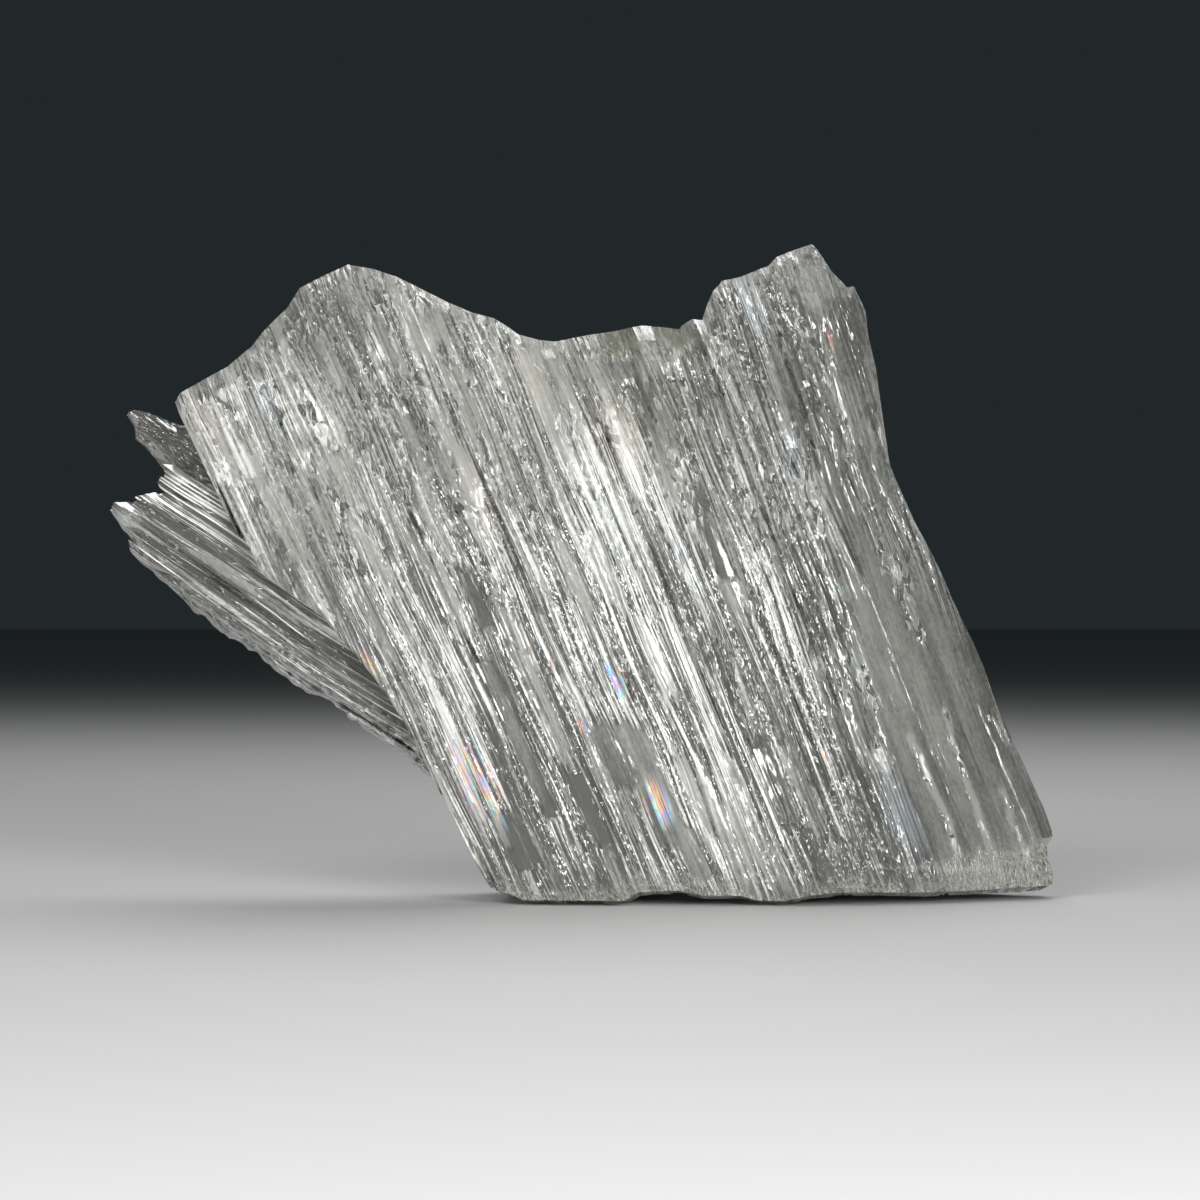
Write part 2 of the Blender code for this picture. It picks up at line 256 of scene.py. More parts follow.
def draw(seed, *numbers):
    """A number from 0 to 1 for each set of whole numbers, the same each time."""
    in_span = np.uint64(HASH_SPAN - 1)
    mixed = np.full(np.broadcast(*numbers).shape, seed * HASH_SEED_FACTOR % HASH_SPAN, np.uint64)
    for number in numbers:
        mixed = mixed ^ (np.asarray(number).astype(np.int64).astype(np.uint64) & in_span)
        for factor, shift in zip(HASH_FACTORS, HASH_SHIFTS):
            mixed = (mixed * np.uint64(factor)) & in_span
            mixed = mixed ^ (mixed >> np.uint64(shift))
    return mixed.astype(float) / HASH_SPAN


def swing(seed, *numbers):
    return 2.0 * draw(seed, *numbers) - 1.0


def smooth_noise(seed, *places):
    """Soft noise from -1 to 1 whose lumps are one unit apart."""
    cells = [np.floor(place) for place in places]
    shares = [ease(place - cell) for place, cell in zip(places, cells)]
    total = 0.0
    for corner in range(2 ** len(places)):
        steps = [(corner >> bit) & 1 for bit in range(len(places))]
        weight = 1.0
        for step, share in zip(steps, shares):
            weight = weight * (share if step else 1.0 - share)
        total = total + weight * swing(seed, *[cell + step for cell, step in zip(cells, steps)])
    return total


print("three draws:", draw(SEED, np.arange(3)).round(2))

# %% [markdown]
# Finer than the crystals are the needles themselves. A needle is flat-sided and breaks off in pieces,
# so its face is split across into strips and along into lengths. Each length gets its own height and its
# own tilt, and it is this tilt that makes one needle flash while its neighbour stays dark.

# %% Strips and lengths
def strip_relief(seed, across, along, width, length, tilt, height, ragged=0.35):
    """Height of a face of broken flat strips, in the same unit as the widths."""
    place = across + 0.35 * width * smooth_noise(seed + 1, across / (9 * width), along / (1.3 * length))
    place = place / width
    strip = np.floor(place)
    near = place - strip
    shift = 0.42 * swing(seed + 2, strip)
    strip = strip + (near > 0.5 + shift) * 1.0
    middle = strip + 0.25 * swing(seed + 3, strip)
    own_length = length * (0.45 + 1.3 * draw(seed + 4, strip))
    ragged_end = ragged * smooth_noise(seed + 5, across / (0.35 * width), along / length)
    piece = np.floor(along / own_length + 9.0 * draw(seed + 6, strip) + ragged_end)
    rise = height * swing(seed + 7, strip, piece)
    slope = tilt * swing(seed + 8, strip, piece)
    return rise + slope * (place - middle) * width


def layered(layers, seed, across, along):
    """Strips of several widths together. A layer is its seed, width, length, tilt and height."""
    return sum(strip_relief(seed + own_seed, across, along, *sizes) for own_seed, *sizes in layers)


# %% [markdown]
# A block with many fine cuts is the raw material. A flat grid is added, its whole face is extruded back
# to give it thickness, and the new walls are cut into layers with Subdivide. Its corners then lie on a
# unit cube, and code can send each of them to its place on the crystal. The cuts are close across the
# needles and wide along them, because that is how the real surface changes.

# %% A block of fine cuts
def unit_block(name, columns, rows, layers):
    bpy.ops.mesh.primitive_grid_add(x_subdivisions=columns, y_subdivisions=rows, size=1.0)
    piece = bpy.context.object
    piece.name = piece.data.name = name
    bpy.ops.object.mode_set(mode="EDIT")
    bpy.ops.mesh.select_all(action="SELECT")
    bpy.ops.mesh.extrude_region_move(TRANSFORM_OT_translate={"value": (0.0, 0.0, 1.0)})
    bpy.ops.mesh.select_mode(type="EDGE")
    bpy.ops.mesh.select_all(action="DESELECT")
    bpy.ops.object.mode_set(mode="OBJECT")
    corners = read_corners(piece)
    ends = np.empty(2 * len(piece.data.edges), np.int32)
    piece.data.edges.foreach_get("vertices", ends)
    ends = ends.reshape(-1, 2)
    upright = np.abs(corners[ends[:, 0], 2] - corners[ends[:, 1], 2]) > 0.5
    piece.data.edges.foreach_set("select", upright)
    bpy.ops.object.mode_set(mode="EDIT")
    bpy.ops.mesh.subdivide(number_cuts=layers - 1)
    bpy.ops.mesh.select_all(action="SELECT")
    bpy.ops.mesh.normals_make_consistent(inside=False)
    bpy.ops.object.mode_set(mode="OBJECT")
    bpy.ops.object.select_all(action="DESELECT")
    return piece


def read_corners(piece):
    flat = np.empty(3 * len(piece.data.vertices))
    piece.data.vertices.foreach_get("co", flat)
    return flat.reshape(-1, 3)


def write_corners(piece, places):
    """Places in mm, moved so that the middle of the base is at the origin."""
    piece.data.vertices.foreach_set("co", ((places + TO_MIDDLE) * MM).ravel())
    piece.data.update()


# A corner that lies further in is read as further across, so that the side walls have needles too.
INWARD_SHARE = 0.8


def place_for_finish(across, inward, along):
    """Across and along the needles, in mm, for the finish to read."""
    return np.stack([across + INWARD_SHARE * inward, along, 0.0 * along], axis=1)


def write_marks(piece, **marks):
    """Stores named values on the corners, for the finish to read. A single number marks them all."""
    for name, values in marks.items():
        kind, field = ("FLOAT_VECTOR", "vector") if np.ndim(values) == 2 else ("FLOAT", "value")
        store = piece.data.attributes.new(name, kind, "POINT")
        values = values if np.ndim(values) else np.full(len(piece.data.vertices), values)
        store.data.foreach_set(field, np.ascontiguousarray(values, np.float32).ravel())


# %% [markdown]
# The slab: columns of cuts run along the needles, and their rows are closer together at both ends,
# where the shown face turns over into the broken end.

# %% The slab's block
SLAB_COLUMNS, SLAB_ROWS, SLAB_LAYERS = 420, 100, 9
slab = unit_block("slab", SLAB_COLUMNS, SLAB_ROWS, SLAB_LAYERS)
unit = read_corners(slab)
share_across, share_along, share_back = unit[:, 0] + 0.5, unit[:, 1] + 0.5, unit[:, 2]
print("slab block:", len(slab.data.vertices), "corners,", 2 * len(slab.data.polygons), "triangles")

# %% [markdown]
# A short band of rows at each end is kept for the turn of the face, and the others are spread evenly
# between them, from the lower end of a needle to its upper end.

# %% Where each corner lies in the fan
END_SHARE = 0.06
END_ROOM = 3.2
across = ACROSS_LEFT + (ACROSS_RIGHT - ACROSS_LEFT) * share_across
low, high = lower_end(across), upper_end(across)
length = high - low
end_room = np.minimum(END_ROOM, 0.18 * length)
inner = np.clip((share_along - END_SHARE) / (1.0 - 2.0 * END_SHARE), 0.0, 1.0)
along = low + end_room + (length - 2.0 * end_room) * inner
along = np.where(share_along < END_SHARE, low + end_room * share_along / END_SHARE, along)
along = np.where(share_along > 1.0 - END_SHARE, high - end_room * (1.0 - share_along) / END_SHARE, along)
share_length = (along - low) / length
print("longest column of cuts, mm:", round(float(length.max()), 1))

# %% [markdown]
# The relief of a face has two parts. The crystals give the large steps: each has its rise, its low
# crown, and two ledges with ragged edges. Three layers of strips on top of them give the needles.

# %% Relief of one face of the slab
NEEDLE_LAYERS = ((0, 2.1, 21.0, 0.05, 0.13), (20, 0.92, 15.0, 0.10, 0.05), (40, 0.5, 10.0, 0.10, 0.02))


def crystal_relief(face, across, along, share_length):
    """Height of the crystals: their rise, crown and ledges, with ragged ledge edges."""
    ragged = across + 0.22 * smooth_noise(31 + face, along / 7.0, across / 3.0)
    which = np.clip(np.searchsorted(CRYSTAL_EDGES, ragged, side="right") - 1, 0, len(CRYSTALS) - 1)
    left, right = CRYSTAL_EDGES[which], CRYSTAL_EDGES[which + 1]
    crest = of_crystals(lambda c: c.crest)[which]
    rise = of_crystals(lambda c: c.faces[face]["rise"])[which]
    crown = of_crystals(lambda c: c.faces[face]["crown"])[which]
    towards = np.where(ragged < crest, (ragged - left) / (crest - left), (right - ragged) / (right - crest))
    height = rise + crown * np.clip(towards, 0.0, 1.0)
    for number in range(2):
        ledge = of_crystals(lambda c: c.ledges[number])[which]
        step = of_crystals(lambda c: c.faces[face]["steps"][number])[which]
        jag = 0.035 * strip_relief(41 + number, ragged, along * 0.0, 0.7, 4.0, 0.0, 1.0)
        height = height + (share_length > ledge + jag) * step * np.where(step > 0, 0.5, 1.0)
    return height


print("needles, mm wide:", [width for _seed, width, *_rest in NEEDLE_LAYERS])

# %% [markdown]
# Some places of the shown face are special: calm clear windows, flashing satin, chipped spots, dirt.
# Each is a long patch that follows the needles. It is given by its middle in x and z, by its half sizes
# across and along, and by how soft and how ragged its edge is. A row of a table ends with its strength.
# A plate is a patch with a crisp edge: a whole crystal face that lies bare.

# %% Patches on the shown face
def patch(x0, z0, half_across, half_along, softness=0.3, ragged=0.35):
    """From 1 inside the patch to 0 outside it."""
    at_across, at_along = to_fan(x0, z0)
    push = ragged * half_along * smooth_noise(61, across / 0.45, along / 30.0)
    sideways = 0.25 * smooth_noise(62, across / 3.0, along / 4.0)
    away = np.hypot((across + sideways - at_across) / half_across, (along + push - at_along) / half_along)
    return 1.0 - ease((away - 1.0 + softness) / (2.0 * softness))


def patches(*table):
    """The strongest of several patches, each with its strength as the last number."""
    total = np.zeros(len(across))
    for *shape, strength in table:
        total = np.maximum(total, strength * patch(*shape))
    return total


def plate(x0, z0, half_across, half_along, seed=0):
    """1 inside a crisp plate whose sides follow the needles and whose ends are broken nearly square."""
    at_across, at_along = to_fan(x0, z0)
    jag = 0.5 * smooth_noise(67 + seed, across / 0.7) + 0.25 * (across - at_across)
    beside = np.abs(across - at_across + 0.15 * smooth_noise(68, along / 3.0)) < half_across
    return (beside & (np.abs(along + jag - at_along) < half_along)) * 1.0


DARK_PLATES = (
    (3.1, 14.6, 1.3, 3.4), (6.9, 11.6, 1.5, 6.6), (-8.1, 20.6, 1.0, 3.8), (-5.0, 13.6, 0.8, 5.4),
    (-6.2, 6.0, 1.4, 3.2), (0.6, 9.4, 0.9, 4.2), (12.6, 36.6, 0.9, 5.0), (19.0, 12.0, 1.1, 4.4),
    (10.8, 5.2, 1.0, 3.0), (-10.4, 30.0, 0.8, 3.4),
)
BRIGHT_PLATES = (
    (2.2, 19.6, 1.8, 1.5), (-24.7, 46.8, 1.0, 1.7), (-12.6, 16.0, 0.8, 6.0), (-2.8, 11.6, 0.6, 6.0),
    (-0.6, 7.0, 0.5, 5.0), (-9.6, 9.6, 0.9, 4.0), (8.4, 27.4, 0.7, 6.0), (12.2, 18.4, 0.8, 5.4),
    (-34.6, 46.0, 0.6, 4.6), (-28.2, 45.6, 0.6, 3.0), (-19.4, 52.0, 0.7, 3.6), (14.4, 45.0, 0.6, 5.0),
    (4.4, 44.0, 0.8, 4.4), (-14.2, 27.4, 0.7, 5.6), (29.4, 13.8, 0.8, 1.3),
)
dark_plates, bright_plates = (
    np.maximum.reduce([plate(*place, seed=number) for number, place in enumerate(places)])
    for places in (DARK_PLATES, BRIGHT_PLATES)
)
windows = patches(
    (14.8, 30.9, 1.6, 4.6, 0.5, 0.3, 0.8), (-15.3, 56.9, 2.2, 2.6, 0.3, 0.3, 0.9),
    (-23.8, 43.9, 2.9, 2.0, 0.4, 0.3, 0.6), (-25.0, 39.6, 2.9, 4.6, 0.4, 0.3, 0.5),
    (-28.4, 35.6, 2.4, 4.8, 0.4, 0.3, 0.55), (36.5, 14.0, 8.0, 27.0, 0.3, 0.2, 1.0),
    (30.4, 22.0, 3.6, 12.0, 0.2, 0.3, 0.9), (25.9, 17.9, 2.2, 5.5, 0.2, 0.3, 0.9),
    (21.2, 50.0, 2.2, 5.0, 0.2, 0.3, 0.8), (24.9, 40.4, 2.6, 5.0, 0.2, 0.3, 0.9),
    (29.0, 50.0, 3.0, 12.0, 0.3, 0.3, 0.8), (-39.0, 45.6, 0.9, 5.0, 0.3, 0.1, 1.0),
    (24.0, 60.0, 3.4, 3.4, 0.3, 0.3, 0.8), (-3.9, 50.0, 1.2, 6.0, 0.2, 0.3, 0.7),
    (2.9, 12.0, 1.4, 6.0, 0.2, 0.3, 0.7), (-6.6, 24.5, 1.2, 6.0, 0.6, 0.3, 0.4),
    (-12.0, 42.0, 1.5, 5.0, 0.2, 0.3, 0.8), (5.6, 53.8, 7.0, 2.2, 0.3, 0.2, 0.8),
)
# Many small windows more are left to chance, one for about every eighth cell.
cell = np.floor(across / 1.5 + 0.3 * smooth_noise(63, across / 4.0, along / 12.0))
cell_run = np.floor(along / 8.0 + 7.0 * draw(64, cell) + 0.3 * smooth_noise(65, across / 0.4, along / 6.0))
windows = np.maximum.reduce([windows, 0.75 * (draw(66, cell, cell_run) < 0.13), dark_plates])
chipped = patches(
    (21.7, 26.9, 4.6, 8.0, 0.5, 0.3, 0.8), (27.0, 22.4, 1.3, 3.2, 0.4, 0.3, 1.0),
    (29.5, 14.4, 1.2, 3.0, 0.4, 0.3, 1.0), (23.7, 14.7, 1.2, 3.2, 0.4, 0.3, 1.0),
    (25.2, 8.4, 1.8, 4.2, 0.4, 0.3, 0.9), (31.7, 33.2, 1.4, 3.2, 0.4, 0.3, 1.0),
    (-29.0, 49.8, 3.2, 4.0, 0.5, 0.3, 0.7), (-9.5, 38.0, 2.0, 5.0, 0.5, 0.3, 0.6),
    (0.5, 47.5, 3.0, 3.4, 0.5, 0.3, 0.6), (8.5, 44.0, 2.4, 6.0, 0.5, 0.3, 0.6),
    (-18.0, 59.5, 3.0, 2.4, 0.5, 0.3, 0.6), (18.0, 41.0, 3.0, 5.0, 0.5, 0.3, 0.6),
    (-22.0, 36.0, 1.8, 6.0, 0.5, 0.3, 0.5), (15.0, 54.0, 3.0, 3.0, 0.5, 0.3, 0.5),
    (22.6, 42.0, 1.6, 5.4, 0.4, 0.3, 0.9), (-17.0, 48.0, 2.2, 4.0, 0.5, 0.3, 0.5),
    (33.5, 28.4, 0.9, 3.2, 0.4, 0.3, 0.9), (22.1, 30.0, 1.2, 2.4, 0.4, 0.3, 1.0),
    (-21.0, 60.2, 1.5, 1.9, 0.5, 0.3, 1.0),
)
glassy = patches(
    (36.5, 14.0, 8.0, 27.0, 0.3, 0.2, 1.0), (30.4, 22.0, 3.6, 12.0, 0.3, 0.2, 0.8),
    (29.0, 50.0, 3.4, 13.0, 0.3, 0.3, 0.8),
)
print("plates:", len(DARK_PLATES), "dark and", len(BRIGHT_PLATES), "bright")

# %% [markdown]
# Each face is its depth profile with the relief on it. The relief is weaker in the windows and on the
# glassy right-hand side. The shown face turns over in a smooth band at both ends, and its foot is lumpy.

# %% Both faces and the walls between them
front, back = slab_depth(across, along, high)
placed = squeeze(across, along)
front_relief = crystal_relief(0, across, along, share_length)
front_relief = front_relief * (1.0 - np.maximum(0.7 * glassy, 0.6 * dark_plates))
front_relief = front_relief + (1.0 - 0.8 * windows) * layered(NEEDLE_LAYERS, 100, placed, along)
front_relief = front_relief - 0.32 * dark_plates + 0.22 * bright_plates
back_relief = crystal_relief(1, across, along, share_length) + layered(NEEDLE_LAYERS, 300, placed, along)

# The outermost crystals on the left end early, and the layer below them shows.
lower_layer = (along + 0.8 * smooth_noise(69, across / 0.8) < 3.6 + 0.55 * (across + 31.0)) & (across < -25.5)
front_relief = front_relief - 1.0 * lower_layer

which = np.clip(np.searchsorted(CRYSTAL_EDGES, across, side="right") - 1, 0, len(CRYSTALS) - 1)
bevel = np.minimum(of_crystals(lambda c: c.bevel)[which], 0.12 * length)
crust = np.minimum(of_crystals(lambda c: c.crust)[which], 0.12 * length)
top_turn = np.clip(1.0 - (high - along) / bevel, 0.0, 1.0)
foot_turn = np.clip(1.0 - (along - low) / crust, 0.0, 1.0)
turned = 1.1 * top_turn**1.3 + 0.7 * foot_turn**1.5
lumps = smooth_noise(77, across / 0.9, along / 0.8) + 0.6 * smooth_noise(78, across / 0.4, along / 0.5)
front_relief = front_relief + 0.3 * lumps * np.maximum(np.clip(2.0 * foot_turn, 0.0, 1.0), 0.5 * top_turn)
front = np.clip(front - front_relief * (1.0 - 0.7 * top_turn) + turned, -HALF_THICKNESS, 0.0)
back = np.clip(back + back_relief * (1.0 - 0.7 * top_turn) - turned, 0.0, HALF_THICKNESS)
depth = front + (back - front) * share_back
print("depth of the slab, mm:", depth.min().round(1), "to", depth.max().round(1))

# %% [markdown]
# At the top the crystals break off at uneven heights, step by step from the front to the back, and one
# layer of cuts keeps the full height of the outline. The foot is flat where the specimen stands on it,
# and it is lifted a little at both faces.

# %% The broken ends
end_cell = strip_relief(500, across, depth * 0.0, 1.3, 5.0, 0.1, 0.45)
end_cell = end_cell + strip_relief(520, across + 0.6 * depth, depth, 0.9, 2.2, 0.15, 0.4)
at_top, at_foot = share_along > 0.999, share_along < 0.001
inside = np.minimum(share_back, 1.0 - share_back) > 0.02
ends = of_crystals(lambda c: c.ends)
slot_place = share_back * (DEPTH_DRAWS - 1)
slot = np.clip(slot_place.astype(int), 0, DEPTH_DRAWS - 2)
end_step = ends[which, slot] + (ends[which, slot + 1] - ends[which, slot]) * (slot_place - slot)
along = np.where(at_top & inside, high + 0.55 * end_step + 0.5 * np.minimum(end_cell, 0.2), along)
along = np.where(at_top & (np.abs(share_back - 1.0 / 3.0) < 0.06), high, along)
x, z = from_fan(squeeze(across, along), along)

standing = at_foot & (across >= LEFT_LINE[0][-1])
lift = np.where(inside, 0.25 * np.abs(np.minimum(end_cell, 0.0)), 0.45 * crust)
new_z = foot_height(x) + lift
run = (new_z - z) / math.tan(FAN_LEAN) * ease((ACROSS_RIGHT - across) / 6.0)
x = np.where(standing, x - run, x)
z = np.maximum(np.where(standing, new_z, z), 0.0)
places = np.stack([x, depth, z], axis=1)
write_corners(slab, places)
print("slab, mm:", np.ptp(places, axis=0).round(1))

# %% [markdown]
# Marks on the slab's corners steer its finish. Satin is how much light the needle walls inside send
# back, and vivid is how strong its streaks are. The satin is brightest in a band in the middle, where the
# needles lie open; that band is a painted sheen on top of the needles' own white. It is weak in the rim,
# the foot and the glassy right-hand side.

# %% Satin of the slab
def flat_patch(x0, z0, half_x, half_z, softness=0.3):
    """A patch that follows the top or the foot, not the needles."""
    push = 0.2 * smooth_noise(79, x / 0.8, z / 0.8)
    away = np.hypot((x - x0) / half_x, (z - z0) / half_z) + push
    return 1.0 - ease((away - 1.0 + softness) / (2.0 * softness))


satin = 0.39 + 0.1 * smooth_noise(71, across / 3.1, along / 26.0)
satin = satin + 0.08 * smooth_noise(72, across / 1.1, along / 16.0)
# The first patch is the painted sheen band, where the open needles flash.
for x0, z0, half_across, half_along, strength in (
    (9.6, 22.0, 6.0, 17.0, 0.36), (6.0, 37.0, 4.5, 10.0, 0.16), (-2.0, 40.0, 5.0, 12.0, 0.1),
    (-12.0, 19.0, 3.6, 16.0, 0.22), (-32.6, 46.9, 4.2, 7.0, 0.2), (-3.0, 22.0, 3.0, 12.0, 0.1),
    (34.0, 20.0, 8.0, 30.0, -0.19), (24.0, 58.0, 6.0, 7.0, -0.24), (-22.0, 60.0, 8.0, 4.0, -0.2),
    (6.8, 53.0, 7.0, 7.0, -0.2), (-4.0, 4.0, 9.0, 7.0, -0.22), (27.0, 5.0, 10.0, 9.0, -0.16),
    (14.0, 49.0, 4.0, 6.0, -0.08), (21.2, 50.0, 1.4, 4.6, -0.16),
):
    satin = satin + strength * patch(x0, z0, half_across, half_along, 0.8, 0.2)
# The recessed lower layer on the left is painted a little darker, as painted shade in its step.
satin = satin - 0.3 * dark_plates + 0.25 * bright_plates - 0.15 * lower_layer
satin = satin - 0.25 * flat_patch(-25.6, 45.4, 3.4, 1.0, 0.6)
vivid = 0.42 + 0.5 * ease((40.0 - z) / 14.0) * (1.0 - 0.5 * glassy)
vivid = vivid + 0.2 * patch(8.0, 40.0, 6.0, 10.0, 0.8)
print("satin, from", satin.min().round(2), "to", satin.max().round(2))

# %% [markdown]
# The foot and the broken top have a dull crust, and the top has a darker rim. Olive stain, a warm tint,
# specks and cracks are only colour. The pale blue and rainbow patches are painted reflections: bluish
# flashes and thin-film colours of cracks inside. Nothing is raised for any of them.

# %% Crust and colours of the slab
on_foot = across > LEFT_LINE[0][-1] - 1.0
crust_height = 2.0 + 1.1 * smooth_noise(73, across / 2.2) + 0.6 * smooth_noise(74, across / 0.7, along / 2.0)
crust_mark = np.clip(1.6 * (1.0 - (along - low) / np.maximum(crust_height, 0.6)), 0.0, 1.0) * on_foot
crust_mark = np.maximum(crust_mark, 0.75 * flat_patch(42.5, 1.6, 8.0, 3.2, 0.6))
crust_mark = np.maximum(crust_mark, 0.8 * (at_top & inside))
rim = np.clip(1.5 * (1.0 - (high - along) / (1.6 + 0.9 * smooth_noise(75, across / 2.6))), 0.0, 1.0)
rim = np.maximum.reduce([rim, flat_patch(-22.0, 61.8, 5.0, 2.4), flat_patch(23.0, 62.5, 4.4, 3.0)])
stain = patches((7.4, 48.9, 2.2, 5.2, 0.6, 0.4, 0.75), (-0.6, 52.6, 3.0, 2.2, 0.6, 0.4, 0.3))
stain = np.maximum(stain, flat_patch(5.8, 55.4, 6.6, 2.0))
warm = patches(
    (3.4, 45.6, 2.6, 4.6, 0.6, 0.3, 1.0), (-10.2, 40.4, 0.9, 4.6, 0.5, 0.3, 1.0),
    (-37.6, 48.0, 1.4, 4.4, 0.6, 0.2, 0.8), (-5.0, 52.0, 1.2, 4.0, 0.6, 0.3, 0.7),
    (-24.4, 45.8, 0.8, 2.2, 0.5, 0.2, 0.8),
)
# Pale blue patches are painted reflections: bright bluish flashes.
blue = patches(
    (16.7, 59.2, 0.9, 3.2, 0.4, 0.1, 0.9), (-31.5, 49.4, 0.9, 3.0, 0.4, 0.2, 0.7),
    (21.3, 44.4, 1.3, 2.6, 0.5, 0.3, 0.7), (31.0, 9.4, 1.7, 4.6, 0.5, 0.2, 0.55),
    (3.5, 35.0, 1.6, 6.0, 0.6, 0.3, 0.3), (10.5, 31.0, 1.2, 6.0, 0.6, 0.3, 0.3),
)
# Rainbow patches are painted thin-film reflections of cracks inside.
rainbow = patches(
    (3.3, 22.1, 1.0, 1.8, 0.4, 0.2, 0.9), (7.4, 10.0, 1.1, 2.3, 0.4, 0.2, 0.9),
    (-10.2, 12.0, 1.7, 4.6, 0.5, 0.3, 0.7), (-0.2, 17.2, 0.6, 1.4, 0.4, 0.2, 0.8),
    (-3.8, 24.5, 0.7, 2.6, 0.4, 0.2, 0.5), (-20.9, 23.7, 0.5, 1.6, 0.4, 0.2, 0.8),
    (-23.6, 21.2, 0.7, 1.4, 0.4, 0.2, 0.7), (24.7, 55.6, 0.5, 1.0, 0.4, 0.2, 0.7),
    (26.6, 24.4, 0.4, 0.6, 0.4, 0.2, 0.9), (23.6, 14.7, 0.5, 0.6, 0.4, 0.2, 0.8),
    (26.3, 31.1, 0.5, 0.7, 0.4, 0.2, 0.8),
)
print("crust and rim on", round(100 * float((np.maximum(crust_mark, rim) > 0.5).mean())), "% of the corners")

# %% [markdown]
# Dark specks and cracks, and bright edges that are painted glints, are thin lines between two points.
# A row holds both points in x and z, then the half width, the strength, and how much the line wavers
# where that isn't the usual.

# %% Lines on the slab
DARK_LINES = (
    (-29.6, 48.5, -29.4, 48.2, 0.35, 1.0), (21.0, 60.7, 21.1, 60.5, 0.4, 1.0),
    (22.4, 64.2, 22.6, 64.1, 0.35, 1.0), (-17.2, 51.6, -17.1, 51.4, 0.25, 1.0),
    (9.2, 56.9, 10.9, 56.8, 0.4, 0.8), (19.0, 61.0, 21.0, 60.0, 0.8, 0.6),
    (-0.4, 15.5, 3.4, 6.3, 0.28, 0.8), (-6.0, 38.0, -1.6, 28.0, 0.2, 0.5),
    (16.0, 48.0, 19.5, 38.6, 0.2, 0.5), (-38.6, 51.0, -35.6, 43.8, 0.2, 0.4, 0.05),
    (-37.5, 51.6, -34.6, 44.4, 0.2, 0.45, 0.05), (-36.4, 52.2, -33.6, 45.4, 0.2, 0.4, 0.05),
    (-35.2, 52.7, -32.9, 47.0, 0.2, 0.35, 0.05),
)
GLINT_LINES = (
    (0.3, 54.1, 9.6, 54.3, 0.35, 0.7), (9.6, 54.3, 11.6, 55.6, 0.35, 0.6), (28.0, 4.0, 43.0, 3.0, 0.3, 0.6),
    (32.6, 16.3, 37.4, 4.3, 0.35, 1.0), (35.8, 19.1, 40.2, 5.5, 0.3, 0.7), (41.8, 11.0, 44.2, 4.0, 0.3, 0.7),
    (20.4, 60.0, 26.6, 47.0, 0.25, 0.6), (-29.6, 49.6, -29.4, 49.4, 0.6, 0.8),
    (-25.0, 45.6, -23.6, 45.3, 0.5, 0.7), (-0.6, 27.0, -0.2, 26.0, 0.6, 0.6),
    (-36.2, 42.1, -33.4, 41.3, 0.35, 0.9), (-21.9, 61.6, -20.3, 59.0, 0.6, 0.8),
)


def line(x0, z0, x1, z1, half_width, strength, waver=0.3):
    """The strength on a thin straight line, and 0 beside it."""
    start, end = np.array((x0, z0)), np.array((x1, z1))
    sideways = waver * smooth_noise(80, z / 1.6, x / 6.0)
    spots = np.stack([x + sideways, z], axis=1) - start
    share = np.clip(spots @ (end - start) / np.dot(end - start, end - start), 0.0, 1.0)
    away = np.hypot(*(spots - share[:, None] * (end - start)).T)
    return strength * (1.0 - ease(away / half_width - 0.5))


specks = np.maximum.reduce([line(*row) for row in DARK_LINES])
bright = np.maximum.reduce([line(*row) for row in GLINT_LINES])
# Small clusters of painted glints join the bright lines.
bright = np.maximum(bright, patches(
    (27.4, 22.8, 1.0, 2.6, 0.5, 0.3, 0.7), (29.5, 14.4, 0.8, 1.7, 0.5, 0.3, 0.9),
    (23.7, 14.7, 0.8, 1.5, 0.5, 0.3, 0.8), (25.0, 8.6, 0.9, 2.6, 0.5, 0.3, 0.6),
    (31.7, 33.0, 0.6, 1.0, 0.5, 0.3, 0.8), (33.5, 28.6, 0.5, 2.0, 0.5, 0.3, 0.6),
    (22.1, 30.0, 0.8, 1.5, 0.5, 0.3, 0.7),
))
print(len(DARK_LINES), "dark and", len(GLINT_LINES), "bright lines")

# %% [markdown]
# The marks are stored on the corners now. Calm is a clear window, and it fades off the shown face. Chip
# is a spot of small broken facets. Bright holds the painted glints. Fibre is the place across and along
# the needles.

# %% Marks of the slab
SLAB_THICKNESS = 22.0
true_across, true_along = to_fan(x, z)
calm = windows * (1.0 - 0.9 * ease(8.0 * share_back))
chip = (0.7 - 0.3 * vivid) * (1.0 - 0.92 * windows) + chipped + bright
slab_marks = {
    "fibre": place_for_finish(true_across, SLAB_THICKNESS * share_back, true_along),
    "satin": np.clip(satin, 0.0, 1.0), "calm": calm, "chip": np.clip(chip, 0.0, 1.0), "vivid": vivid,
    "crust": crust_mark, "rim": rim, "stain": stain, "warm": warm, "blue": blue, "rainbow": rainbow,
    "speck": specks, "bright": bright,
}
write_marks(slab, **slab_marks)
print("marks of the slab:", ", ".join(slab_marks))

# %% [markdown]
# The spray is a second bundle of blades, thicker than the needles and leaning at about 34 degrees. Its
# blades have grown together all along, so it is one block like the slab's. Its own measures are out,
# towards the tips, and up, across the blades. The tips end at different places, and the lower rim is
# wavy, so both are read from short lists of corners.

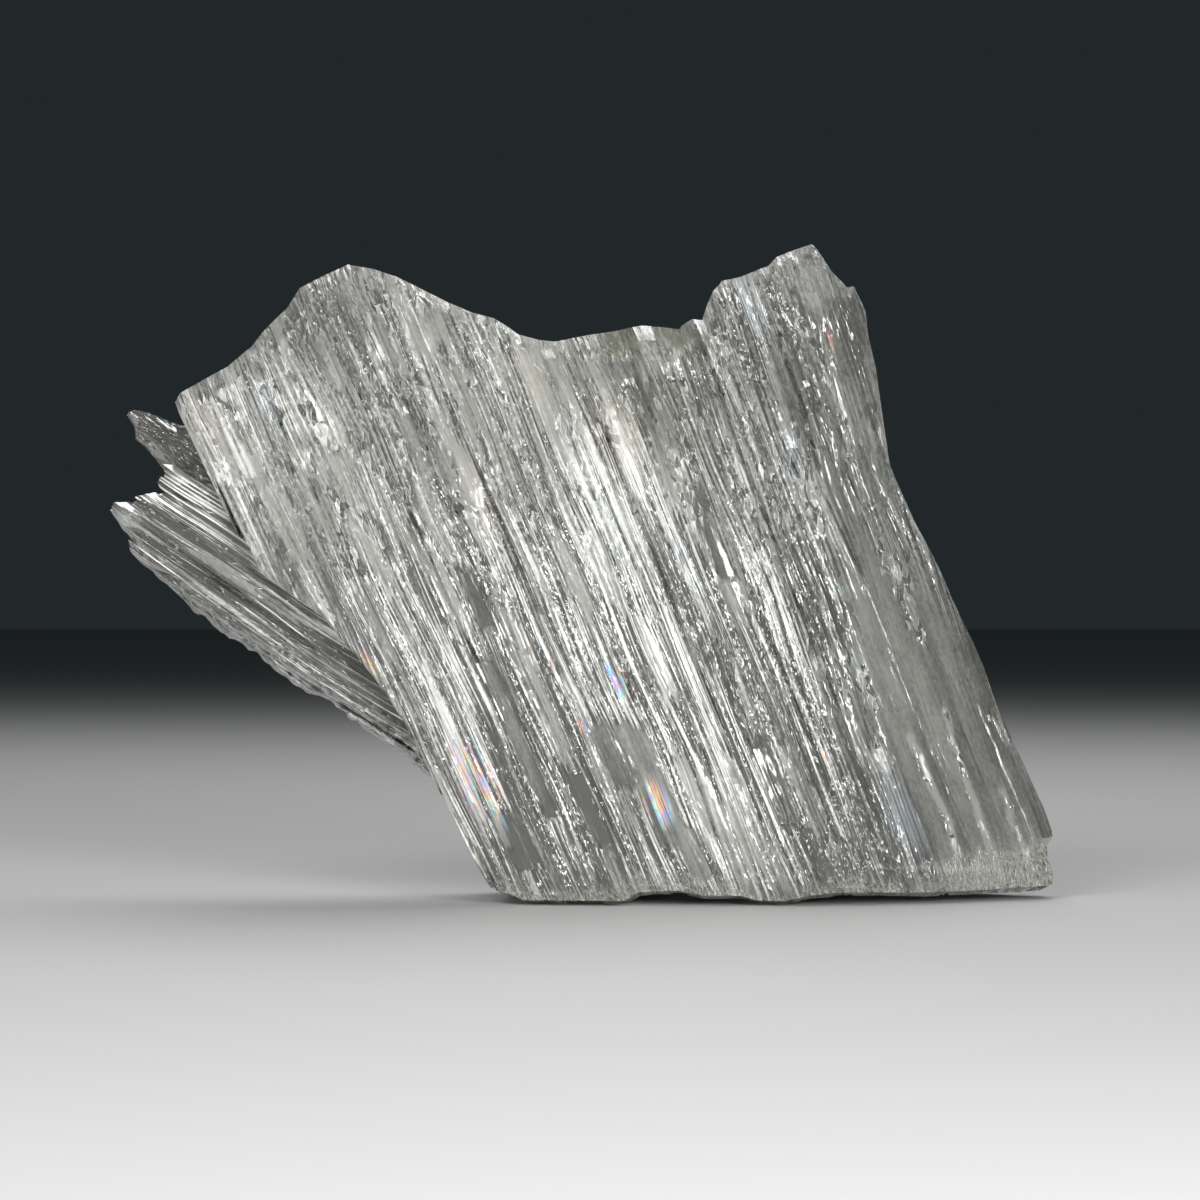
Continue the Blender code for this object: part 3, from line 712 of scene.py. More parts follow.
# %% The spray's outline
SPRAY_LEAN = math.radians(34.0)
SPRAY_TIPS = (
    (1.9, 47.5), (2.2, 49.0), (2.7, 52.4), (3.3, 55.0), (3.5, 56.6), (4.5, 57.6), (5.1, 59.0), (5.9, 60.7),
    (6.3, 61.1), (6.8, 60.9), (7.5, 59.9), (8.1, 59.6), (9.2, 58.8), (10.4, 57.7), (10.8, 58.4), (12.0, 58.7),
    (12.6, 59.1), (13.2, 58.0), (13.3, 53.4), (14.4, 51.4),
)
SPRAY_ROOT_OUT = 9.0
SPRAY_UP = (1.9, 14.4)
SPRAY_RIM = (
    (9.0, 0.6), (20.0, -0.1), (23.3, 0.2), (27.0, 0.0), (32.0, 0.25), (34.5, -0.15), (37.0, -0.35),
    (39.9, 0.0), (42.5, 0.25), (45.0, -0.1), (48.0, 0.1), (62.0, 0.0),
)
SPRAY_FRONT = (
    (1.9, -1.2), (2.3, -3.0), (3.2, -4.7), (5.0, -5.6), (8.5, -5.8), (11.5, -5.5), (12.7, -5.4), (14.4, -5.0),
)
SPRAY_BACK = ((1.9, 1.0), (2.6, 4.6), (4.0, 6.6), (6.0, 7.3), (10.0, 7.4), (12.0, 6.6), (14.4, 4.2))
SPRAY_BACK_SHARE = ((9.0, 0.7), (30.0, 1.0), (46.0, 1.0), (54.0, 0.75), (57.0, 0.2), (61.5, -0.2))
print("the spray reaches", max(reach for _up, reach in SPRAY_TIPS), "mm out")

# %% [markdown]
# Every column of the block runs out along a blade to its own tip. The lowest columns are pushed up and
# down, which makes the wavy lower rim.

# %% The spray's block
spray = unit_block("spray", 150, 130, 9)
unit = read_corners(spray)
share_up, share_out, share_back = unit[:, 0] + 0.5, unit[:, 1] + 0.5, unit[:, 2]
level = SPRAY_UP[0] + (SPRAY_UP[1] - SPRAY_UP[0]) * share_up
tip = np.interp(level, *zip(*SPRAY_TIPS)) + 0.35 * swing(901, np.floor(level / 0.55)) - 0.2
out = SPRAY_ROOT_OUT + (tip - SPRAY_ROOT_OUT) * share_out
rim_wave = np.interp(out, *zip(*SPRAY_RIM))
rim_wave = rim_wave + 0.2 * smooth_noise(963, out / 0.95) + 0.1 * smooth_noise(964, out / 0.5)
up = level + rim_wave * (1.0 - share_up) ** 4
print("spray:", 2 * len(spray.data.polygons), "triangles")

# %% [markdown]
# A few broad blades carry ridges and threads along them. Clear places are smooth, and the lower rim is
# rough and scaly, as in the photograph. The blades get thinner towards their tips.

# %% Blades and ridges of the spray
RIDGE_LAYERS = ((20, 0.62, 24.0, 0.6, 0.16, 0.2), (40, 0.27, 12.0, 0.5, 0.04))
MOST_FORWARD = -6.4


def spray_relief(seed):
    """The blades, and the ridges and threads on them."""
    return strip_relief(seed, up, out, 1.7, 60.0, 0.4, 0.5, 0.15), layered(RIDGE_LAYERS, seed, up, out)


def spot(up0, out0, half_up, half_out, softness=0.5):
    away = np.hypot((up - up0) / half_up, (out - out0) / half_out)
    return 1.0 - ease((away - 1.0 + softness) / (2.0 * softness))


spray_clear = np.maximum.reduce([
    spot(7.4, 45.0, 0.7, 7.0, 0.2), 0.4 * spot(3.4, 46.0, 1.2, 9.0, 0.3), spot(6.6, 59.5, 1.6, 2.6, 0.3),
    0.8 * spot(12.6, 57.5, 0.9, 2.0, 0.3), 0.7 * spot(10.4, 50.0, 0.5, 6.0, 0.3),
])
spray_rough = np.maximum(spot(2.9, 36.4, 1.5, 3.2), 0.6 * spot(3.2, 29.0, 1.2, 4.0))
blades, ridges = spray_relief(900)
wavy = 0.26 * smooth_noise(961, up / 0.9, out / 1.6) + 0.16 * smooth_noise(962, up / 0.4, out / 0.8)
at_rim = np.clip(1.0 - (up - SPRAY_UP[0]) / 2.4, 0.0, 1.0)
face = blades + ridges * (1.0 - 0.85 * spray_clear) + wavy * (0.25 + 2.6 * spray_rough + 1.9 * at_rim)
face = face + 0.55 * spot(9.25, 48.0, 0.35, 9.0) + 0.5 * spot(5.6, 49.0, 0.3, 10.0)
face = face - 0.9 * spot(3.2, 52.0, 0.7, 2.6)
to_tip = np.clip((tip - out) / 2.6, 0.0, 1.0)
root_share = np.interp(out, (SPRAY_ROOT_OUT, 24.0), (0.85, 1.0))
front = np.interp(level, *zip(*SPRAY_FRONT)) * root_share + 1.6 * (1.0 - to_tip) ** 1.5
front = front - face * (0.35 + 0.65 * to_tip)
back = np.interp(level, *zip(*SPRAY_BACK)) * np.interp(out, *zip(*SPRAY_BACK_SHARE))
back_blades, back_ridges = spray_relief(1900)
back = np.maximum(back + back_blades + back_ridges, front + 0.5)
front = np.maximum(front, MOST_FORWARD)
depth = front + (back - front) * share_back
print("depth of the spray, mm:", depth.min().round(1), "to", depth.max().round(1))

# %% [markdown]
# The tips are broken off in small steps. Then the measures out and up are turned into x and z.

# %% Tips of the spray
at_tips = (share_out > 0.999) & (share_back > 0.02) & (share_back < 0.98)
step_back = 0.9 * draw(971, np.floor(up / 0.9), np.floor(depth / 1.4)) + 0.25 * draw(972, np.floor(up / 0.3))
out = out - np.where(at_tips, step_back, 0.0)
x = -out * math.cos(SPRAY_LEAN) + up * math.sin(SPRAY_LEAN)
z = out * math.sin(SPRAY_LEAN) + up * math.cos(SPRAY_LEAN)
places = np.stack([x, depth, z], axis=1)
write_corners(spray, places)
print("spray, mm:", np.ptp(places, axis=0).round(1))

# %% [markdown]
# The spray's satin is in bright and dark streaks along its blades. The bright streaks are painted
# highlights on its ridges, and the dark ones are painted shade in the grooves beside them. One broad spot
# is painted light where the slab shades the spray, another is painted shade in a recess, and the lower rim
# is painted darker where it faces down. Each row below is a spot: its middle up and out, its half sizes,
# and what it adds.

# %% Marks of the spray
# Broad spots of painted light and shade: lit ridges, the place the slab shades painted lighter, and a recess
# painted darker.
BROAD_LIT_AND_SHADED_SPOTS = (
    (11.6, 54.0, 1.2, 4.5, 0.5), (9.3, 48.0, 0.9, 8.0, 0.3), (5.8, 50.0, 0.8, 8.0, 0.3),
    (3.2, 52.0, 0.7, 2.6, -0.3), (9.0, 33.0, 1.6, 7.0, 0.45),
)
# Thin streaks of painted highlights on the ridges and painted shade in the grooves beside them.
LIT_AND_SHADED_STREAKS = (
    (9.3, 48.0, 0.22, 7.0, 0.7), (5.5, 50.0, 0.2, 8.0, 0.7), (6.35, 47.0, 0.16, 8.0, 0.5),
    (10.9, 51.0, 0.2, 5.0, 0.5), (4.3, 48.0, 0.18, 8.0, 0.45), (11.9, 55.0, 0.8, 2.4, 0.5),
    (8.3, 42.0, 0.2, 5.0, 0.5), (2.9, 36.4, 0.9, 2.6, 0.6), (2.7, 27.0, 0.7, 5.0, 0.3),
    (8.85, 48.0, 0.2, 7.0, -0.5), (5.0, 50.0, 0.18, 8.0, -0.5), (6.8, 47.0, 0.14, 8.0, -0.4),
    (10.45, 51.0, 0.2, 5.0, -0.5), (3.8, 47.0, 0.18, 8.0, -0.4), (11.3, 50.0, 0.18, 5.0, -0.4),
    (7.9, 40.0, 0.16, 5.0, -0.4),
)
# Keeps the spray's needles away from the slab's, so that the two finishes don't repeat each other.
SPRAY_PLACE, SPRAY_THICKNESS = 70.0, 12.0
near_rim = np.clip(1.0 - (up - SPRAY_UP[0]) / 2.6, 0.0, 1.0)
near_tip = np.clip(1.0 - (tip - out) / 1.2, 0.0, 1.0)
# The lower rim is painted darker, as painted shade where it faces down, and the tips are a little darker.
satin = 0.3 - 0.55 * near_rim - 0.2 * near_tip
for *shape, strength in BROAD_LIT_AND_SHADED_SPOTS:
    satin = satin + strength * spot(*shape)
for up0, out0, half_up, half_out, strength in LIT_AND_SHADED_STREAKS:
    satin = satin + strength * spot(up0 + 0.05 * smooth_noise(981, out / 3.0), out0, half_up, half_out, 0.4)
write_marks(
    spray, fibre=place_for_finish(up + SPRAY_PLACE, SPRAY_THICKNESS * share_back, out), satin=satin,
    calm=spray_clear, chip=np.clip(spray_rough + 0.2 + 1.1 * at_rim, 0.0, 1.0),
)
print(len(BROAD_LIT_AND_SHADED_SPOTS) + len(LIT_AND_SHADED_STREAKS), "streaks and spots on the spray")

# %% [markdown]
# The shard behind the spray is a flat pointed blade. It is a block like the slab's, with its columns
# running to its point. Its upper and lower edges are read from its outline.

# %% The shard
SHARD_UPPER = (
    (-46.0, 48.8), (-45.3, 49.1), (-43.8, 48.8), (-42.6, 48.3), (-41.4, 47.8), (-39.2, 47.2), (-33.0, 43.6),
    (-24.0, 36.0),
)
SHARD_LOWER = (
    (-46.0, 48.6), (-45.2, 47.3), (-45.1, 46.1), (-44.1, 45.3), (-43.0, 44.0), (-42.2, 42.9), (-41.8, 42.4),
    (-36.0, 37.6), (-28.0, 30.0), (-25.0, 28.0),
)
SHARD_DEPTH = (1.3, 6.3)
SHARD_LEAN = math.radians(38.0)
SHARD_LAYERS = ((0, 0.8, 9.0, 0.12, 0.1), (20, 0.3, 5.0, 0.2, 0.03))
SHARD_PLACE, SHARD_THICKNESS = 140.0, 5.0


def along_shard(corners):
    x, z = (np.array(values) for values in zip(*corners))
    run = x * math.cos(SHARD_LEAN) - z * math.sin(SHARD_LEAN)
    rise = x * math.sin(SHARD_LEAN) + z * math.cos(SHARD_LEAN)
    order = np.argsort(run, kind="stable")
    return run[order], rise[order]


shard = unit_block("shard", 90, 40, 9)
unit = read_corners(shard)
share_run, share_up, share_back = unit[:, 0] + 0.5, unit[:, 1] + 0.5, unit[:, 2]
upper, lower = along_shard(SHARD_UPPER), along_shard(SHARD_LOWER)
run_from, run_to = max(upper[0][0], lower[0][0]), min(upper[0][-1], lower[0][-1])
run = run_from + (run_to - run_from) * share_run**1.35
top, bottom = np.interp(run, *upper), np.interp(run, *lower)
top = np.maximum(top, bottom + 0.1)
rise = bottom + (top - bottom) * share_up
rim = np.minimum(np.minimum(share_up, 1.0 - share_up) * (top - bottom), share_run * (run_to - run_from))
thin = ease(rim / 1.6 + 0.12)
half = 0.5 * (SHARD_DEPTH[1] - SHARD_DEPTH[0])
side = 2.0 * share_back - 1.0
relief = layered(SHARD_LAYERS, 2100, rise, run)
depth = 0.5 * sum(SHARD_DEPTH) + side * (half * (0.65 + 0.35 * thin) + relief * thin)
x = run * math.cos(SHARD_LEAN) + rise * math.sin(SHARD_LEAN)
z = -run * math.sin(SHARD_LEAN) + rise * math.cos(SHARD_LEAN)
write_corners(shard, np.stack([x, depth, z], axis=1))
fibre = place_for_finish(rise + SHARD_PLACE, SHARD_THICKNESS * share_back, run)
write_marks(shard, fibre=fibre, satin=-0.24, calm=0.5, chip=0.5)
print("shard:", 2 * len(shard.data.polygons), "triangles")

# %% [markdown]
# A material is a small calculation, so short helpers do its steps: a node is added, a value is fed to
# it, two values are multiplied, one is weighed and added to another, two colours are mixed. A value can be
# a number or another node's output.

# %% Helpers for materials
def add_node(tree, kind, label, **settings):
    node = tree.nodes.new(kind)
    node.label = label
    for name, value in settings.items():
        setattr(node, name, value)
    return node


def feed(tree, socket, value):
    if isinstance(value, bpy.types.NodeSocket):
        tree.links.new(value, socket)
    else:
        socket.default_value = value


def calculate(tree, operation, *values, clamp=False, label=""):
    node = add_node(tree, "ShaderNodeMath", label, operation=operation, use_clamp=clamp)
    for value, socket in zip(values, node.inputs):
        feed(tree, socket, value)
    return node.outputs[0]


def product(tree, first, second, label=""):
    return calculate(tree, "MULTIPLY", first, second, label=label)


def weighed(tree, value, share, base, clamp=False, label=""):
    """The value times its share, added to the base."""
    return calculate(tree, "MULTIPLY_ADD", value, share, base, clamp=clamp, label=label)


def from_half(tree, value):
    return calculate(tree, "SUBTRACT", value, 0.5)


def blend_colour(tree, factor, first, second, label):
    mix = add_node(tree, "ShaderNodeMix", label, data_type="RGBA")
    for value, socket in ((factor, mix.inputs[0]), (first, mix.inputs[6]), (second, mix.inputs[7])):
        feed(tree, socket, value)
    return mix.outputs[2]


def between(tree, value, low, high, label):
    """0 below low and 1 above high, with a soft change."""
    node = add_node(tree, "ShaderNodeMapRange", label, interpolation_type="SMOOTHSTEP")
    node.inputs["From Min"].default_value, node.inputs["From Max"].default_value = low, high
    feed(tree, node.inputs["Value"], value)
    return node.outputs[0]


def noise_at(tree, place, scales, detail, label, roughness=0.6):
    """Noise with its own scale, in lumps per mm, across and along the needles."""
    times = add_node(tree, "ShaderNodeVectorMath", label, operation="MULTIPLY")
    tree.links.new(place, times.inputs[0])
    times.inputs[1].default_value = (*scales, 0.0)
    noise = add_node(tree, "ShaderNodeTexNoise", label, noise_dimensions="2D")
    noise.inputs["Scale"].default_value = 1.0
    noise.inputs["Detail"].default_value = detail
    noise.inputs["Roughness"].default_value = roughness
    tree.links.new(times.outputs[0], noise.inputs["Vector"])
    return noise.outputs["Fac"]


# %% [markdown]
# Needles are in every finish of this specimen, so they are a shader group. It splits the place across
# the needles into strands of uneven width. Each strand has crisp sides, but along its length its tone
# and its tilt change softly. The tone colours it, and the tilt goes to a Bump node.

# %% Strands, as a shader group
def new_group(name, inputs, outputs):
    tree = bpy.data.node_groups.new(name, "ShaderNodeTree")
    tree.interface.new_socket("Place", in_out="INPUT", socket_type="NodeSocketVector")
    for label, value in inputs:
        socket = tree.interface.new_socket(label, in_out="INPUT", socket_type="NodeSocketFloat")
        socket.default_value = value
    for label in outputs:
        tree.interface.new_socket(label, in_out="OUTPUT", socket_type="NodeSocketFloat")
    return tree, tree.nodes.new("NodeGroupInput").outputs, tree.nodes.new("NodeGroupOutput").inputs


def split(tree, value, kind="ShaderNodeSeparateXYZ"):
    node = add_node(tree, kind, "parts")
    tree.links.new(value, node.inputs[0])
    return node.outputs


def make_strands():
    inputs = (("Width", 0.5), ("Length", 12.0), ("Seed", 0.0))
    tree, given, result = new_group("strands", inputs, ("Tone", "Height"))
    place = split(tree, given["Place"])
    lane = calculate(tree, "DIVIDE", place["X"], given["Width"])
    lane = weighed(tree, given["Seed"], 3.17, lane, label="lane")
    whole, inside = calculate(tree, "FLOOR", lane), calculate(tree, "FRACT", lane)
    uneven = add_node(tree, "ShaderNodeTexWhiteNoise", "uneven widths", noise_dimensions="1D")
    tree.links.new(whole, uneven.inputs["W"])
    border = weighed(tree, uneven.outputs["Value"], 0.5, 0.25)
    second = calculate(tree, "GREATER_THAN", inside, border)
    strand = weighed(tree, second, 0.5, whole, label="strand")
    spot = add_node(tree, "ShaderNodeCombineXYZ", "strand and place along it")
    tree.links.new(weighed(tree, strand, 17.31, given["Seed"]), spot.inputs["X"])
    tree.links.new(calculate(tree, "DIVIDE", place["Y"], given["Length"]), spot.inputs["Y"])
    noise = add_node(tree, "ShaderNodeTexNoise", "tone and tilt along a strand", noise_dimensions="2D")
    noise.inputs["Scale"].default_value, noise.inputs["Detail"].default_value = 1.0, 0.0
    tree.links.new(spot.outputs[0], noise.inputs["Vector"])
    drawn = split(tree, noise.outputs["Color"], "ShaderNodeSeparateColor")
    tone = weighed(tree, from_half(tree, drawn[0]), 1.9, 0.5, clamp=True)
    tree.links.new(tone, result["Tone"])
    slope = product(tree, from_half(tree, drawn[1]), from_half(tree, inside))
    height = weighed(tree, drawn[2], 0.27, product(tree, slope, 1.7))
    tree.links.new(product(tree, height, given["Width"]), result["Height"])
    return tree


STRANDS = make_strands()

# %% [markdown]
# Where the face is broken into small chips, each chip has its own tone and tilt and a thin bright edge,
# which is a painted glint.
# Voronoi cells drawn out along the needles do that, and they are a second group, for all the finishes.

# %% Chips, as a shader group
def make_chips():
    tree, given, result = new_group("chips", (("Across", 2.0), ("Along", 0.6)), ("Tone", "Edge", "Height"))
    place = split(tree, given["Place"])
    spot = add_node(tree, "ShaderNodeCombineXYZ", "chip place")
    tree.links.new(product(tree, place["X"], given["Across"]), spot.inputs["X"])
    tree.links.new(product(tree, place["Y"], given["Along"]), spot.inputs["Y"])
    cells = add_node(tree, "ShaderNodeTexVoronoi", "chips", voronoi_dimensions="2D")
    edges = add_node(tree, "ShaderNodeTexVoronoi", "chip edges", voronoi_dimensions="2D")
    edges.feature = "DISTANCE_TO_EDGE"
    for node in (cells, edges):
        node.inputs["Scale"].default_value = 1.0
        tree.links.new(spot.outputs[0], node.inputs["Vector"])
    drawn = split(tree, cells.outputs["Color"], "ShaderNodeSeparateColor")
    tree.links.new(drawn[0], result["Tone"])
    near = between(tree, edges.outputs["Distance"], 0.0, 0.09, "near an edge")
    tree.links.new(calculate(tree, "SUBTRACT", 1.0, near), result["Edge"])
    from_middle = add_node(tree, "ShaderNodeVectorMath", "place on the chip", operation="SUBTRACT")
    tree.links.new(spot.outputs[0], from_middle.inputs[0])
    tree.links.new(cells.outputs["Position"], from_middle.inputs[1])
    tilt = add_node(tree, "ShaderNodeVectorMath", "own tilt of each chip", operation="SUBTRACT")
    tree.links.new(cells.outputs["Color"], tilt.inputs[0])
    tilt.inputs[1].default_value = (0.5, 0.5, 0.5)
    facet = add_node(tree, "ShaderNodeVectorMath", "tilted facet", operation="DOT_PRODUCT")
    tree.links.new(from_middle.outputs[0], facet.inputs[0])
    tree.links.new(tilt.outputs[0], facet.inputs[1])
    height = weighed(tree, facet.outputs["Value"], 1.3, product(tree, drawn[2], 0.25))
    tree.links.new(height, result["Height"])
    return tree


CHIPS = make_chips()
print("groups:", STRANDS.name, "and", CHIPS.name)

# %% [markdown]
# The crystal itself is one Principled shader. Part of the light goes through it, as through glass, and
# part is scattered back by the countless needle walls inside, which gives the silky white. Where the
# needles lie open they are white and streaky, and where the face is whole it is a calm grey window.

# %% Colours of the crystal
DARK_NEEDLE = (0.10, 0.10, 0.09, 1.0)
CLEAR_GREY = (0.37, 0.375, 0.345, 1.0)
SATIN_WHITE = (0.97, 0.97, 0.94, 1.0)
CRUST_GREY = (0.36, 0.36, 0.30, 1.0)
RIM_GREY = (0.26, 0.262, 0.24, 1.0)
STAIN_OLIVE = (0.13, 0.135, 0.09, 1.0)
WARM_TINT = (0.90, 0.80, 0.66, 1.0)
SPECK_DARK = (0.07, 0.06, 0.05, 1.0)
# The pale blue and the rainbow colours are painted reflections.
PALE_BLUE = (0.78, 0.88, 0.95, 1.0)
RAINBOW = (
    (0.0, (0.95, 0.85, 0.35)), (0.25, (0.95, 0.5, 0.3)), (0.45, (0.85, 0.45, 0.75)),
    (0.65, (0.3, 0.5, 0.95)), (0.85, (0.45, 0.9, 0.9)), (1.0, (0.9, 0.95, 0.6)),
)
# Each layer of strands: its width and length in mm, and its share of the tone.
STRAND_LAYERS = ((1.3, 26.0, 0.15), (0.5, 18.0, 0.3), (0.22, 12.0, 0.35))
# Each painted mark, its share, its colour, and what breaks it up.
PAINTS = (
    ("rim", 0.7, RIM_GREY, "grain"), ("crust", 0.7, CRUST_GREY, "grain"),
    ("stain", 0.9, STAIN_OLIVE, "grain"), ("warm", 0.28, WARM_TINT, "strands"),
    ("blue", 0.5, PALE_BLUE, "strands"), ("speck", 0.9, SPECK_DARK, ""),
)
print(len(PAINTS), "painted marks and a rainbow of", len(RAINBOW), "colours")

# %% [markdown]
# The finish reads the marks and lays the layers of strands together. Two steps more are for the slab
# only: the painted marks, and the rainbow patches, which are bands of colour across the needles that
# paint thin-film reflections.

# %% Steps of the crystal finish
def mark_of(tree, name):
    node = add_node(tree, "ShaderNodeAttribute", name, attribute_name=name)
    return node.outputs["Vector"] if name == "fibre" else node.outputs["Fac"]


def pushed(tree, place, amount, push, label):
    """The place, pushed by a noise value along each axis."""
    node = add_node(tree, "ShaderNodeVectorMath", label, operation="MULTIPLY_ADD")
    tree.links.new(amount, node.inputs[0])
    node.inputs[1].default_value = push
    tree.links.new(place, node.inputs[2])
    return node.outputs[0]


def use_group(tree, group, label, place, **values):
    node = add_node(tree, "ShaderNodeGroup", label, node_tree=group)
    tree.links.new(place, node.inputs["Place"])
    for name, value in values.items():
        node.inputs[name].default_value = value
    return node.outputs


def strand_layers(tree, place):
    """The summed tone and height of strands of several widths."""
    tone, height = 0.0, 0.0
    for number, (width, length, share) in enumerate(STRAND_LAYERS):
        sizes = {"Width": width, "Length": length, "Seed": 1.7 * number}
        made = use_group(tree, STRANDS, f"strands {width} mm", place, **sizes)
        tone = weighed(tree, made["Tone"], share, tone)
        height = calculate(tree, "ADD", made["Height"], height)
    return tone, height


def painted(tree, colour, marks, grain, tone):
    """The colour with the painted marks over it."""
    breaks = {
        "grain": between(tree, grain, 0.25, 0.6, "patchy"),
        "strands": between(tree, tone, 0.2, 0.55, "on bright strands"),
    }
    for name, share, paint, broken_by in PAINTS:
        shown = product(tree, marks[name], share)
        if broken_by:
            shown = product(tree, shown, breaks[broken_by])
        colour = blend_colour(tree, shown, colour, paint, name)
    return colour


def with_rainbow(tree, colour, mark, place, cloud, chips, tone):
    """Painted thin-film reflections: bands of colour across the needles, inside the rainbow mark and on
    bright strands only.
    """
    ramp = add_node(tree, "ShaderNodeValToRGB", "rainbow")
    while len(ramp.color_ramp.elements) < len(RAINBOW):
        ramp.color_ramp.elements.new(0.5)
    for element, (position, paint) in zip(ramp.color_ramp.elements, RAINBOW):
        element.position, element.color = position, (*paint, 1.0)
    bands = weighed(tree, split(tree, place)["X"], 0.7, product(tree, cloud, 2.2))
    bands = weighed(tree, chips["Tone"], 0.35, bands)
    tree.links.new(calculate(tree, "FRACT", bands), ramp.inputs["Fac"])
    shown = product(tree, mark, between(tree, tone, 0.32, 0.52, "on bright strands"))
    return blend_colour(tree, shown, colour, ramp.outputs[0], "rainbow")


# %% [markdown]
# Now the finish itself. Streaks, clouds, grain and chips are added up to one value, the milk, which goes
# from dark through clear grey to satin white. The same strands and chips make the bumps.

# %% Crystal finish
def crystal_finish(name, mark_names, contrast=1.0):
    """The finish of one piece. The slab's has more marks than the others'."""
    material = bpy.data.materials.new(name)
    material.use_nodes = True
    tree = material.node_tree
    marks = {mark: mark_of(tree, mark) for mark in mark_names}
    place, satin, calm = marks["fibre"], marks["satin"], marks["calm"]
    waver = noise_at(tree, place, (0.3, 0.07), 0.0, "wavering needles")
    tone, height = strand_layers(tree, pushed(tree, place, waver, (0.9, 0.0, 0.0), "needles"))
    bend = noise_at(tree, place, (1.6, 0.7), 0.0, "bent edges")
    bent = pushed(tree, place, bend, (0.8, 2.0, 0.0), "chips")
    chips = use_group(tree, CHIPS, "chips", bent, Across=2.3, Along=0.8)
    cloud = noise_at(tree, place, (0.6, 0.22), 2.0, "clouds", 0.7)
    grain = noise_at(tree, place, (3.6, 1.7), 1.0, "grain", 0.7)
    open_face = weighed(tree, calm, -0.93, 1.0, label="open face")
    broken = product(tree, between(tree, cloud, 0.44, 0.6, "where broken"), marks["chip"])

    reach = weighed(tree, satin, 4.2 * contrast, 1.9 * contrast, label="streak contrast")
    if "vivid" in marks:
        reach = product(tree, reach, marks["vivid"], label="vivid below, quiet above")
    milk = product(tree, from_half(tree, tone), product(tree, open_face, reach))
    milk = calculate(tree, "ADD", milk, satin, label="how milky")
    for part, share in (
        (calm, -0.06),
        (product(tree, from_half(tree, cloud), weighed(tree, calm, -0.6, 1.0)), -0.5),
        (product(tree, from_half(tree, grain), weighed(tree, calm, -0.75, 1.0)), 0.6),
        (product(tree, from_half(tree, chips["Tone"]), broken), 1.3),
        # The bright chip edges are painted glints.
        (product(tree, chips["Edge"], broken), 0.65),
    ):
        milk = weighed(tree, part, share, milk)
    # The bright mark adds painted glints to the colour.
    if "bright" in marks:
        milk = weighed(tree, marks["bright"], 0.26, milk)
    milk = calculate(tree, "ADD", milk, 0.0, clamp=True)

    grey, white = between(tree, milk, -0.05, 0.42, "grey"), between(tree, milk, 0.42, 1.0, "white")
    colour = blend_colour(tree, grey, DARK_NEEDLE, CLEAR_GREY, "dark to grey")
    colour = blend_colour(tree, white, colour, SATIN_WHITE, "grey to white")
    rough = weighed(tree, milk, 0.1, 0.08, label="satin is rougher")
    rough = weighed(tree, calm, 0.06, rough, label="windows are duller")
    bumps = product(tree, height, open_face)
    bumps = calculate(tree, "ADD", product(tree, chips["Height"], broken), bumps)
    bumps = weighed(tree, cloud, 0.16, bumps)
    bumps = weighed(tree, product(tree, grain, open_face), 0.12, bumps)
    if "crust" in marks:
        crust = marks["crust"]
        colour = painted(tree, colour, marks, grain, tone)
        # Painted glints on the chip edges in the crust.
        glint = product(tree, chips["Edge"], product(tree, crust, 0.4))
        colour = blend_colour(tree, glint, colour, SATIN_WHITE, "bright edges in the crust")
        colour = with_rainbow(tree, colour, marks["rainbow"], place, cloud, chips, tone)
        dull = calculate(tree, "MAXIMUM", marks["rim"], marks["stain"])
        rough = weighed(tree, crust, 0.2, rough, label="crust is rough")
        rough = weighed(tree, dull, 0.28, rough, label="and the rim")
        bumps = weighed(tree, product(tree, crust, grain), 0.8, bumps)

    bump = add_node(tree, "ShaderNodeBump", "needles and chips")
    bump.inputs["Strength"].default_value = 1.0
    bump.inputs["Distance"].default_value = 0.0005
    tree.links.new(bumps, bump.inputs["Height"])
    shader = tree.nodes["Principled BSDF"]
    for value, socket in ((bump.outputs[0], "Normal"), (colour, "Base Color"), (rough, "Roughness")):
        tree.links.new(value, shader.inputs[socket])
    shader.inputs["Metallic"].default_value = 0.0
    shader.inputs["IOR"].default_value = 1.52
    shader.inputs["Transmission Weight"].default_value = 0.4
    absorb = add_node(tree, "ShaderNodeVolumeAbsorption", "absorption")
    absorb.inputs["Color"].default_value = (0.86, 0.88, 0.87, 1.0)
    absorb.inputs["Density"].default_value = 18.0
    tree.links.new(absorb.outputs[0], tree.nodes["Material Output"].inputs["Volume"])
    return material


PLAIN_MARKS = ("fibre", "satin", "calm", "chip")
slab_finish = crystal_finish("slab_crystal", tuple(slab_marks))
spray_finish = crystal_finish("spray_crystal", PLAIN_MARKS, 1.6)
shard_finish = crystal_finish("shard_crystal", PLAIN_MARKS, 0.6)
for finish in (slab_finish, spray_finish, shard_finish):
    print(finish.name, "has", len(finish.node_tree.nodes), "nodes")

# %% [markdown]
# Every piece now takes its finish and rides on the one body, and the imported node is hidden.

# %% Pieces and the imported node
SHARPEST_SMOOTHED = math.radians(24.0)
for piece, finish in ((slab, slab_finish), (shard, shard_finish), (spray, spray_finish)):
    piece.data.materials.clear()
    piece.data.materials.append(finish)
    bpy.context.view_layer.objects.active = piece
    piece.select_set(True)
    bpy.ops.object.shade_smooth_by_angle(angle=SHARPEST_SMOOTHED)
    piece.select_set(False)
    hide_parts("probertite")
    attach(piece, "root")
    print(piece.name, "takes", finish.name)

# %% [markdown]
# The specimen stands on a plain pale floor, which is part of the stage and not of the object.

